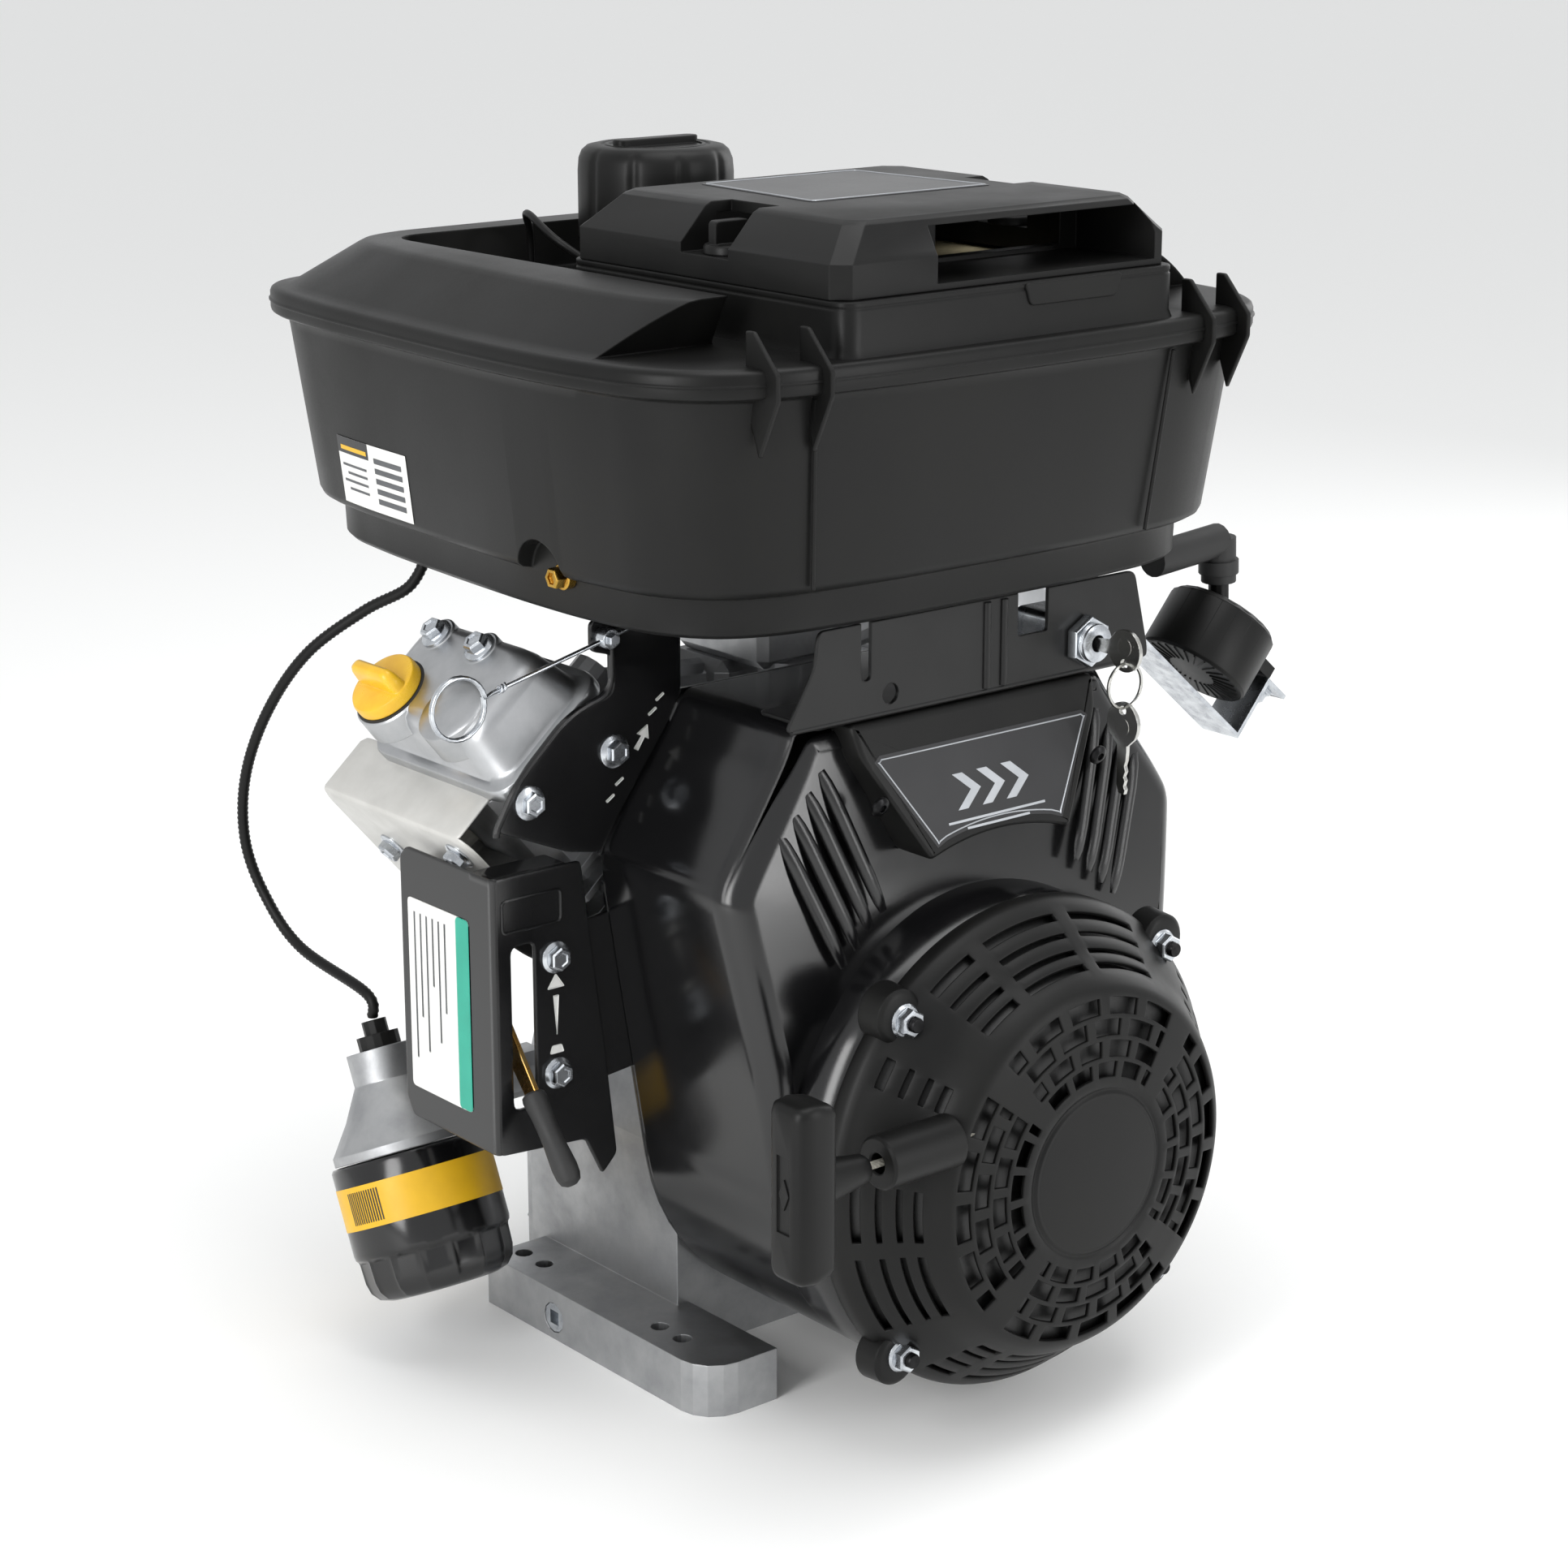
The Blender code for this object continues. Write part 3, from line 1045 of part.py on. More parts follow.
def make_oil_filter():
    top, up = Vector(FILTER_TOP), Vector(FILTER_UP).normalized()
    profile = [(0, 0), (40, 0), (44.5, 4), (44.5, 52), (42.5, 56), (41, 72), (34, 78), (0, 79)]
    profile = [(r * MM, h * MM) for r, h in profile]
    solid("oil_filter", turned(profile, top, -up, 24), "black_enamel")
    base = top + up * GAP
    profile = [(0, 0), (42, 0), (42, 5), (30, 22), (20, 40), (20, 58), (0, 58)]
    profile = [(r * MM, h * MM) for r, h in profile]
    adapter = solid("filter_adapter", turned(profile, base, up, 16), "cast_aluminium")
    low, high = (-192 * MM, 78 * MM, 124 * MM), (-104.4 * MM, 104 * MM, 150 * MM)
    join(adapter, box(low, high, 6 * MM, 1))
    peak = base + up * 58 * MM
    cut(adapter, rod(peak - up * 14 * MM, peak + up * 5 * MM, 14.5 * MM, 16))
    sender = rod(peak - up * 13 * MM, peak + up * 8 * MM, 12 * MM, 16)
    sender = solid("pressure_sender", sender, "black_plastic")
    join(sender, rod(peak + up * 7 * MM, peak + up * 16 * MM, 7 * MM, 12))
    tip = peak + up * 17.6 * MM
    route = [Vector((-160, 113, 436)) * MM]
    for point in ((-166, 122, 420), (-180, 145, 405), (-200, 173, 379), (-210, 201, 342)):
        route.append(Vector(point) * MM)
    for point in ((-215, 220, 301), (-215, 224, 262), (-210, 213, 230), (-205, 185, 205)):
        route.append(Vector(point) * MM)
    route.append(tip + up * 14 * MM)
    route.append(tip)
    tube("wiring_conduit", route, 3.3 * MM, "black_plastic", 30)


def make_canister():
    """Vapour canister in front of the right bank, with its strap bracket, hose and clamp."""
    out = Vector((math.sin(BANK_ANGLE), 0, math.cos(BANK_ANGLE)))
    across = Vector((math.cos(BANK_ANGLE), 0, -math.sin(BANK_ANGLE)))
    face = Vector(CAN_FACE)
    profile = [(0, 0), (31, 0), (33, 2), (33, 36), (30, 39), (0, 39)]
    can = turned([(r * MM, h * MM) for r, h in profile], face, out, 20)
    can = solid("vapour_canister", can, "black_plastic")
    spout_from = face + out * 36 * MM - across * 4 * MM
    spout_way = (out * 0.72 - across * 0.69).normalized()
    join(can, rod(spout_from, spout_from + spout_way * 34 * MM, 6 * MM, 12))
    ear = face + across * 32 * MM + out * 26 * MM
    lug = box((-12 * MM, -11 * MM, 0), (16 * MM, 11 * MM, 8 * MM))
    turn = Matrix((across, (0, 1, 0), out)).transposed().to_4x4()
    lug.transform(Matrix.Translation(ear) @ turn)
    join(can, lug)
    path = [(-62, -12), (44, -12), (44, 25.6), (64, 25.6), (64, 23.1), (46.5, 23.1)]
    path += [(46.5, -14.5), (-62, -14.5)]
    outline = [face + across * a * MM + out * b * MM for a, b in path]
    strap = prism(outline, (0, -14 * MM, 0), (0, 28 * MM, 0))
    strap = solid("canister_bracket", strap, "zinc_steel")
    under = face + across * 56 * MM + out * 23 * MM
    add_bolts(strap, [(under, -out)], 6 * MM, 7 * MM, 8 * MM)
    mouth = spout_from + spout_way * 20 * MM
    profile = [(6.4, 0), (10, 0), (10, 26), (6.4, 26)]
    profile = [(r * MM, h * MM) for r, h in profile]
    hose = solid("canister_hose", turned(profile, mouth, spout_way, 16), "rubber")
    join(hose, rod(mouth + spout_way * 24 * MM, (178 * MM, -107 * MM, 426 * MM), 9.8 * MM, 16))
    clamp = [(9 * MM, 5 * MM), (11.5 * MM, 5 * MM), (11.5 * MM, 13 * MM), (9 * MM, 13 * MM)]
    join(hose, turned(clamp, mouth, spout_way, 16))


def make_starter_motor():
    """Electric starter low on the right, drawn from the usual layout."""
    x, z = 142 * MM, 106 * MM
    profile = [(0, -36), (20, -36), (31, -30), (31, 62), (27, 68), (0, 68)]
    body = turned([(r * MM, y * MM) for r, y in profile], (x, 0, z), (0, 1, 0), 24)
    motor = solid("starter_motor", body, "black_enamel")
    join(motor, box((104.4 * MM, -20 * MM, 90 * MM), (125 * MM, 20 * MM, 116 * MM)))


def build():
    clear_scene()
    MATERIALS.update(make_materials())
    make_crankcase()
    make_output_cover()
    make_heads()
    make_rocker_covers()
    make_rocker_fittings()
    make_shields()
    make_ignition()
    make_pistons()
    make_crankshaft()
    make_timing()
    make_flywheel()
    make_housing()
    make_trim_panel()
    make_backing_plate()
    make_recoil()
    make_rope_parts()
    make_control_panel()
    make_throttle()
    make_choke()
    make_switch()
    make_key_ring()
    make_tank()
    make_fuel_cap()
    make_air_cleaner()
    make_intake()
    make_oil_filter()
    make_canister()
    make_starter_motor()


build()
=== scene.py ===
"""Looks for a small V-twin gasoline engine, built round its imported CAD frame.

Metres, +Z up, in the frame's own places. The crankshaft lies along Y and the recoil
starter faces -Y. Each section is one piece or one group of like pieces, in the order
in which the engine goes together.
"""

import math

import bmesh
import bpy
from mathutils import Matrix, Vector


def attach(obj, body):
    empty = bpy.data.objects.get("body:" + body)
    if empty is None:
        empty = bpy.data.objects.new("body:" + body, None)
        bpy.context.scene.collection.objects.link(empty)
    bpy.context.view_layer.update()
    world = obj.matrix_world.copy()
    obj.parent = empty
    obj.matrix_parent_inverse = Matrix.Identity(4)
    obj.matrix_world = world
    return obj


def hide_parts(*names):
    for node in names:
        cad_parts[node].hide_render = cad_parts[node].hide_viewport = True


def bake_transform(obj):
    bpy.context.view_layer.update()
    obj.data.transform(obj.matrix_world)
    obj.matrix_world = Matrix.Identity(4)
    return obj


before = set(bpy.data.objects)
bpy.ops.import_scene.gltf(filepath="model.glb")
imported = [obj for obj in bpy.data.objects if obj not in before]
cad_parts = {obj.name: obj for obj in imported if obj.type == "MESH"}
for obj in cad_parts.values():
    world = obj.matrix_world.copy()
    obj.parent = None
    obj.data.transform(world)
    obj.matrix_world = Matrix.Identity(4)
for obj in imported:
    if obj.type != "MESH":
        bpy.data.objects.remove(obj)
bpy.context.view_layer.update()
MM = 0.001


# ---------------------------------------------------------------- camera, floor and light
# A product picture: the engine stands on a plain pale floor in a light tent, seen from
# the front left and a little above, with large soft lamps over and beside it.


def colour(code):
    """Linear RGBA of an sRGB hex code such as "#808080"."""
    parts = [int(code[i : i + 2], 16) / 255 for i in (1, 3, 5)]
    return (*[c / 12.92 if c < 0.04045 else ((c + 0.055) / 1.055) ** 2.4 for c in parts], 1)


def add_node(tree, kind, settings, links):
    """Adds a shader node, gives its sockets and settings their values, and links it."""
    node = tree.nodes.new(kind)
    for name, value in settings.items():
        if isinstance(name, int) or name in node.inputs:
            node.inputs[name].default_value = value
        else:
            setattr(node, name, value)
    for name, source in links.items():
        tree.links.new(source, node.inputs[name])
    return node


target = Vector((0, 0, 0.3051))
camera = bpy.data.objects.new("camera", bpy.data.cameras.new("camera"))
camera.data.lens = 78.9
camera.data.sensor_width = 36
camera.location = (-1.177, -1.4215, 0.838)
camera.rotation_euler = (target - camera.location).to_track_quat("-Z", "Y").to_euler()
bpy.context.scene.collection.objects.link(camera)
bpy.context.scene.camera = camera

floor = bmesh.new()
bmesh.ops.create_grid(floor, x_segments=2, y_segments=2, size=40)
floor_data = bpy.data.meshes.new("floor")
floor.to_mesh(floor_data)
floor.free()
floor = bpy.data.objects.new("floor", floor_data)
bpy.context.scene.collection.objects.link(floor)
# The floor is smooth white vinyl, which shows no reflection and only a soft shadow.
white_floor = bpy.data.materials.new("white_vinyl_floor")
white_floor.use_nodes = True
floor_shader = white_floor.node_tree.nodes["Principled BSDF"]
floor_shader.inputs["Base Color"].default_value = colour("#fcfcfb")
floor_shader.inputs["Roughness"].default_value = 0.7
floor_data.materials.append(white_floor)

world = bpy.data.worlds.new("light_tent")
world.use_nodes = True
world.node_tree.nodes["Background"].inputs["Color"].default_value = colour("#fafbfc")
world.node_tree.nodes["Background"].inputs["Strength"].default_value = 0.8
bpy.context.scene.world = world
bpy.context.scene.view_settings.view_transform = "Standard"

for name, place, width, height, power in (
    ("lamp_above", (0.2, -0.3, 2.3), 1.8, 1.4, 20),
    ("lamp_left", (-2.1, -0.5, 1.0), 0.7, 1.6, 26),
    ("lamp_front", (0.9, -2.3, 0.9), 0.5, 1.7, 16),
    ("lamp_right", (2.2, 0.3, 1.2), 1.0, 1.6, 10),
):
    lamp = bpy.data.lights.new(name, "AREA")
    lamp.shape = "RECTANGLE"
    lamp.size = width
    lamp.size_y = height
    lamp.energy = power
    lamp = bpy.data.objects.new(name, lamp)
    lamp.location = place
    aim = Vector((0, 0, 0.35)) - lamp.location
    lamp.rotation_euler = aim.to_track_quat("-Z", "Y").to_euler()
    bpy.context.scene.collection.objects.link(lamp)


# ---------------------------------------------------------------- crankcase and base
# One die casting in aluminium: the base with its feet, the crank chamber and both finned
# barrels. It is left as cast, with a fine sandy skin, and grey where oil has dried on it.


def surface(name, base, tint, rough, metallic=0.0, cloud=20, grain=0.5, relief=0.04, edge=0.8, shine=0.5):
    """A finish: base clouded with tint, uneven roughness, fine relief and soft edges.

    cloud, grain, relief and edge are the size of the clouds and of the grain, the height
    of the relief and the radius of the edges, all in mm. shine is the specular level.
    """
    material = bpy.data.materials.new(name)
    material.use_nodes = True
    tree = material.node_tree
    shader = tree.nodes["Principled BSDF"]
    shader.inputs["Specular IOR Level"].default_value = shine
    shader.inputs["Metallic"].default_value = metallic
    place = add_node(tree, "ShaderNodeTexCoord", {}, {}).outputs["Object"]
    wide = {"Scale": 1000 / cloud, "Detail": 5.0, "Roughness": 0.6}
    wide = add_node(tree, "ShaderNodeTexNoise", wide, {"Vector": place}).outputs["Fac"]
    spread = {"From Min": 0.35, "From Max": 0.65, "To Min": 0.0, "To Max": 1.0}
    spread = add_node(tree, "ShaderNodeMapRange", spread, {"Value": wide}).outputs["Result"]
    mix = {"data_type": "RGBA", 6: colour(base), 7: colour(tint)}
    mix = add_node(tree, "ShaderNodeMix", mix, {0: spread})
    tree.links.new(mix.outputs[2], shader.inputs["Base Color"])
    fine = {"Scale": 1000 / grain, "Detail": 3.0}
    fine = add_node(tree, "ShaderNodeTexNoise", fine, {"Vector": place}).outputs["Fac"]
    both = {"operation": "MULTIPLY_ADD", 1: 0.35}
    both = add_node(tree, "ShaderNodeMath", both, {0: fine, 2: wide}).outputs["Value"]
    gloss = {"From Min": 0.4, "From Max": 0.95, "To Min": rough[0], "To Max": rough[1]}
    gloss = add_node(tree, "ShaderNodeMapRange", gloss, {"Value": both})
    tree.links.new(gloss.outputs["Result"], shader.inputs["Roughness"])
    soft = add_node(tree, "ShaderNodeBevel", {"samples": 4, "Radius": edge * MM}, {})
    bump = {"Strength": 0.6, "Distance": relief * MM}
    bump = add_node(tree, "ShaderNodeBump", bump, {"Height": fine, "Normal": soft.outputs["Normal"]})
    tree.links.new(bump.outputs["Normal"], shader.inputs["Normal"])
    return material


def dress(material, *names):
    """Gives the CAD nodes of these names their finish."""
    for name in names:
        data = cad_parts[name].data
        data.materials.clear()
        data.materials.append(material)


# Bare die-cast aluminium is a dull, light grey metal with a sandy skin.
cast_aluminium = surface(
    "sand_textured_cast_aluminium", "#b4b5b6", "#a2a3a5", (0.36, 0.56), 1.0, 24, 0.7, 0.06
)
dress(cast_aluminium, "crankcase", "crankcase_cover", "cylinder_head_left", "cylinder_head_right")


# ---------------------------------------------------------------- moving parts inside
# Forged and ground steel crankshaft and camshaft, and cast aluminium pistons and flywheel.
# The steel is oiled and bright, with fine machining marks. Only the shaft's end is seen.

# Ground steel under a film of oil is a darker grey, and nearly a mirror.
ground_steel = surface("oiled_ground_steel", "#8d8e90", "#6b6c6e", (0.2, 0.38), 1.0, 8, 0.3, 0.01, 0.5)
dress(ground_steel, "crankshaft", "camshaft", "rewind_spring")
dress(cast_aluminium, "piston_left", "piston_right", "flywheel")


# ---------------------------------------------------------------- rocker covers
# Die-cast aluminium lids on the two heads, each with a broad flange, a faceted top and two
# flange bolts. The left one carries the oil filler, and a raised dome beside it.

CRANK_Z = 152  # the height of the crankshaft's axis
OIL_CAP = (-14, 32, 0)  # the filler's axis, in the cylinder's own places
SIDES = ("left", "right")


def lathe(profile, centre, axis, steps=48):
    """A solid turned from (radius, height) pairs, all in mm, round an axis through centre."""
    mesh = bmesh.new()
    turn = Vector((0, 0, 1)).rotation_difference(Vector(axis)).to_matrix()
    rings = []
    for radius, height in profile:
        ring = []
        for i in range(1 if radius == 0 else steps):
            angle = 2 * math.pi * (i + 0.5) / steps
            spot = Vector((radius * math.cos(angle), radius * math.sin(angle), height))
            ring.append(mesh.verts.new(Vector(centre) + turn @ spot))
        rings.append(ring)
    closed = profile[0][0] > 0 and profile[-1][0] > 0
    pairs = list(zip(rings, rings[1:])) + ([(rings[-1], rings[0])] if closed else [])
    for low, high in pairs:
        for i in range(steps):
            j = (i + 1) % steps
            corners = [low[i % len(low)], low[j % len(low)], high[j % len(high)], high[i % len(high)]]
            corners = list(dict.fromkeys(corners))
            if len(corners) > 2:
                mesh.faces.new(corners)
    return mesh


def loft(sections):
    """A closed solid through rings of points, all with the same number of points."""
    mesh = bmesh.new()
    rings = [[mesh.verts.new(point) for point in ring] for ring in sections]
    for low, high in zip(rings, rings[1:]):
        for i in range(len(low)):
            j = (i + 1) % len(low)
            mesh.faces.new((low[i], low[j], high[j], high[i]))
    mesh.faces.new(rings[0][::-1])
    mesh.faces.new(rings[-1])
    return mesh


def rounded(outline, radius, steps=6):
    """A closed outline of 2D points with an arc in place of each corner."""
    result = []
    for i, corner in enumerate(outline):
        corner = Vector(corner)
        back = Vector(outline[i - 1]) - corner
        ahead = Vector(outline[(i + 1) % len(outline)]) - corner
        reach = min(radius, back.length * 0.48, ahead.length * 0.48)
        start, end = corner + back.normalized() * reach, corner + ahead.normalized() * reach
        for step in range(steps + 1):
            s = step / steps
            result.append(start * (1 - s) ** 2 + corner * 2 * s * (1 - s) + end * s**2)
    return result


def merged(*meshes):
    """One mesh that holds several."""
    data = bpy.data.meshes.new("merged")
    whole = bmesh.new()
    for mesh in meshes:
        mesh.to_mesh(data)
        mesh.free()
        whole.from_mesh(data)
    bpy.data.meshes.remove(data)
    return whole


def piece(name, mesh, material, body, slot, *nodes):
    """An object from a mesh in mm that rides on a body and stands for these CAD nodes."""
    bmesh.ops.scale(mesh, vec=(MM, MM, MM), verts=mesh.verts)
    bmesh.ops.recalc_face_normals(mesh, faces=mesh.faces)
    data = bpy.data.meshes.new(name)
    mesh.to_mesh(data)
    mesh.free()
    data.shade_smooth()
    data.set_sharp_from_angle(angle=math.radians(35))
    data.materials.append(material)
    thing = bpy.data.objects.new(name, data)
    bpy.context.scene.collection.objects.link(thing)
    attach(thing, body)
    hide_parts(*nodes)
    return thing


def flange_bolt(place, axis, size=6.5, flange=9.0, tall=7.0):
    """A hexagonal flange bolt's head: a dished flange, six flats and a dimple on top."""
    flange = [(0, 0), (flange, 0), (flange, 0.9), (size * 1.06, 2.2), (0, 2.2)]
    flats = [(0, 1), (size, 1), (size, tall - 0.9), (size * 0.88, tall), (size * 0.6, tall)]
    flats += [(size * 0.52, tall - 0.7), (0, tall - 0.7)]
    return merged(lathe(flange, place, axis, 32), lathe(flats, place, axis, 6))


def bank(side):
    """The matrix from a cylinder's own (across, along the crank, up the bore) to the engine."""
    sign, shift = {"left": (-1, 28), "right": (1, 56)}[side]
    lean = math.radians(41)
    across = Vector((-sign * math.cos(lean), 0, math.sin(lean)))
    bore = Vector((sign * math.sin(lean), 0, math.cos(lean)))
    turn = Matrix((across, (0, 1, 0), bore)).transposed().to_4x4()
    return Matrix.Translation((0, shift, CRANK_Z)) @ turn


# Zinc plate is bright and bluish. The brushed casting is smoother than the crankcase.
bright_zinc = surface("bright_zinc_plate", "#d3d7db", "#aeb2b8", (0.16, 0.34), 1.0, 9, 0.4, 0.008, 0.4)
bright_cast = surface("brushed_cast_aluminium", "#bfc0c2", "#b0b2b4", (0.28, 0.42), 1.0, 26, 0.9, 0.04, 0.6)
for side in SIDES:
    sections = []
    for inset_t, inset_y, u in (
        (1.2, 1.2, 278),
        (0, 0, 279.2),
        (0, 0, 285),
        (0.8, 0.8, 286.6),
        (2.6, 2.6, 287.4),
        (5.4, 5.4, 287.8),
        (7, 7, 289.6),
        (10.5, 12, 309),
        (12.5, 15, 314),
        (16.5, 21, 317.2),
        (19, 25, 318),
    ):
        half_t, half_y = 42 - inset_t, 64 - inset_y
        ring = [(-half_t, -half_y), (half_t, -half_y), (half_t, half_y), (-half_t, half_y)]
        sections.append([(6 + t, y, u) for t, y in rounded(ring, 17, 8)])
    cover = loft(sections)
    boss = [(0, 303), (11.5, 303), (11, 317.5), (10, 318.4), (0, 318.4)]
    bosses = [lathe(boss, (26, y, 0), (0, 0, 1)) for y in (32, -8)]
    dome = [(0, 300), (21, 300), (20.5, 317.5), (19, 318.6), (15, 319.2), (9, 321.5), (0, 322.3)]
    bosses.append(lathe(dome, (-12, -22, 0), (0, 0, 1)))
    if side == "left":
        seat = [(0, 303), (23, 303), (22.4, 316.8), (21.5, 317.8), (0, 317.8)]
        bosses.append(lathe(seat, OIL_CAP, (0, 0, 1)))
    cover = merged(cover, *bosses)
    cover.transform(bank(side))
    name = f"rocker_cover_{side}"
    piece(f"{name}_casting", cover, bright_cast, "engine", "cast_aluminium", name)
    bolts = merged(*[flange_bolt((26, y, 318.4), (0, 0, 1)) for y in (32, -8)])
    bolts.transform(bank(side))
    piece(f"{name}_bolts", bolts, bright_zinc, "engine", "zinc_steel")


# ---------------------------------------------------------------- oil filler cap
# Injection-moulded cap in bright yellow plastic with a wing to turn it by. It screws into
# the left rocker cover and seals on a black rubber ring.

# The nylon is glossy from its mould, and the seal's rubber is matt.
yellow_nylon = surface("glossy_yellow_nylon", "#e8b92c", "#dba81f", (0.24, 0.36), 0.0, 18, 0.8, 0.012, 1.0)
black_rubber = surface("matt_black_rubber", "#1b1b1b", "#242424", (0.5, 0.7), 0.0, 10, 0.35, 0.03, 0.6)
rim = [(0, 318.4), (19.4, 318.4), (20, 319), (20, 324), (19.2, 325.6), (16, 326.4), (0, 326.8)]
wing = []
for u, thick, wide in (
    (322, 5, 18.4),
    (328, 4.6, 18.4),
    (334, 4, 17.6),
    (337, 3.2, 15.6),
    (338.3, 1.8, 12.5),
):
    ring = [(-thick, -wide), (thick, -wide), (thick, wide), (-thick, wide)]
    ring = rounded(ring, thick * 0.95, 5)
    wing.append([(t + OIL_CAP[0], y + OIL_CAP[1], u) for t, y in ring])
cap = merged(lathe(rim, OIL_CAP, (0, 0, 1), 64), loft(wing))
cap.transform(bank("left"))
piece("oil_filler_cap_moulding", cap, yellow_nylon, "oil_cap", "yellow_plastic", "oil_filler_cap")
seal = [(15, 317.9), (21, 317.9), (21.4, 318.1), (21, 318.36), (15, 318.36)]
seal = lathe(seal, OIL_CAP, (0, 0, 1))
seal.transform(bank("left"))
piece("oil_filler_seal", seal, black_rubber, "engine", "rubber")


# ---------------------------------------------------------------- head shields
# Pressed steel covers that lead the cooling air over the heads. They are painted satin
# silver, with a round hole for the spark plug, two bolts, and soft folds along the edges.


def combine(thing, operation, *meshes):
    """Cuts the meshes, in mm, from a piece, or joins them on, for good."""
    for mesh in meshes:
        bmesh.ops.scale(mesh, vec=(MM, MM, MM), verts=mesh.verts)
        bmesh.ops.recalc_face_normals(mesh, faces=mesh.faces)
        data = bpy.data.meshes.new("tool")
        mesh.to_mesh(data)
        mesh.free()
        tool = bpy.data.objects.new("tool", data)
        bpy.context.scene.collection.objects.link(tool)
        modifier = thing.modifiers.new("combine", "BOOLEAN")
        modifier.operation = operation
        modifier.object = tool
        bpy.context.view_layer.update()
        ready = thing.evaluated_get(bpy.context.evaluated_depsgraph_get())
        result = bpy.data.meshes.new_from_object(ready)
        result.set_sharp_from_angle(angle=math.radians(35))
        thing.modifiers.clear()
        thing.data = result
        bpy.data.objects.remove(tool)


def bar(start, end, radius, steps=32):
    """A plain round bar from one point to another."""
    start, end = Vector(start), Vector(end)
    profile = [(0, 0), (radius, 0), (radius, (end - start).length), (0, (end - start).length)]
    return lathe(profile, start, end - start, steps)


PLUG_Y, PLUG_U = 24, 226  # the plug's axis: its place along the crank and up the bore
# Silver paint is a pale warm grey, with a sheen but no sharp reflection.
silver_paint = surface("satin_silver_paint", "#c9c8c4", "#bdbcb8", (0.3, 0.44), 0.25, 30, 0.25, 0.012, 1.2)
for side in SIDES:
    rings = []
    for t, d in ((-64, 5), (-63.6, 2.2), (-62.6, 0.5), (-61, 0), (-30, 0), (-27, 1)):
        low_y, high_y, low_u, high_u = -50 + d, 92 - d, 187 + d, 280 - d
        ring = [(low_y, low_u), (high_y, low_u), (high_y, high_u), (low_y, high_u)]
        rings.append([(t, y, u) for y, u in rounded(ring, 16, 8)])
    shield = loft(rings)
    shield.transform(bank(side))
    name = f"head_shield_{side}"
    shield = piece(f"{name}_sheet", shield, silver_paint, "engine", "silver_paint", name)
    rings = []
    for t in (-62, -10):
        ring = [(-48, 189), (90, 189), (90, 278), (-48, 278)]
        rings.append([(t, y, u) for y, u in rounded(ring, 15, 8)])
    hollow = loft(rings)
    hole = bar((-80, PLUG_Y, PLUG_U), (-50, PLUG_Y, PLUG_U), 16, 40)
    front_gap = [(-61.8, 189), (-20, 189), (-20, 278), (-61.8, 278)]
    front_gap = loft([[(t, y, u) for t, u in front_gap] for y in (-60, 0)])
    for tool in (hollow, hole, front_gap):
        tool.transform(bank(side))
    combine(shield, "DIFFERENCE", hollow, hole, front_gap)
    bolts = merged(*[flange_bolt((-64, y, u), (-1, 0, 0)) for y, u in ((56, 238), (-30, 262))])
    bolts.transform(bank(side))
    piece(f"{name}_bolts", bolts, bright_zinc, "engine", "zinc_steel")


# ---------------------------------------------------------------- ignition
# A ceramic plug in each head with a moulded rubber boot over it, an ignition lead forward
# to the blower's back plate, and two potted coils beside the flywheel.


def sweep(name, points, radius, material, body, slot, *nodes, radii=None):
    """A round cord, wire or tube along points in mm, as a bevelled curve."""
    curve = bpy.data.curves.new(name, "CURVE")
    curve.dimensions = "3D"
    curve.bevel_depth = radius * MM
    curve.bevel_resolution = 4
    curve.use_fill_caps = True
    spline = curve.splines.new("POLY")
    spline.points.add(len(points) - 1)
    for i, point in enumerate(points):
        spline.points[i].co = (*Vector(point) * MM, 1)
        spline.points[i].radius = radii[i] if radii else 1
    spline.use_smooth = True
    curve.materials.append(material)
    thing = bpy.data.objects.new(name, curve)
    bpy.context.scene.collection.objects.link(thing)
    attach(thing, body)
    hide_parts(*nodes)
    return thing


def smooth_route(points, count):
    """Evenly counted points on a smooth curve through the given ones."""
    points = [Vector(point) for point in points]
    fine = []
    for i in range(len(points) - 1):
        before = points[max(i - 1, 0)]
        start, end = points[i], points[i + 1]
        after = points[min(i + 2, len(points) - 1)]
        for step in range(20):
            s = step / 20
            bend = 2 * before - 5 * start + 4 * end - after
            twist = 3 * start - before - 3 * end + after
            fine.append(0.5 * (2 * start + (end - before) * s + bend * s**2 + twist * s**3))
    fine.append(points[-1])
    lengths = [0.0]
    for a, b in zip(fine, fine[1:]):
        lengths.append(lengths[-1] + (b - a).length)
    result = []
    for i in range(count):
        want = lengths[-1] * i / (count - 1)
        k = max(j for j in range(len(fine)) if lengths[j] <= want + 1e-9)
        k = min(k, len(fine) - 2)
        span = lengths[k + 1] - lengths[k]
        result.append(fine[k].lerp(fine[k + 1], (want - lengths[k]) / span))
    return result


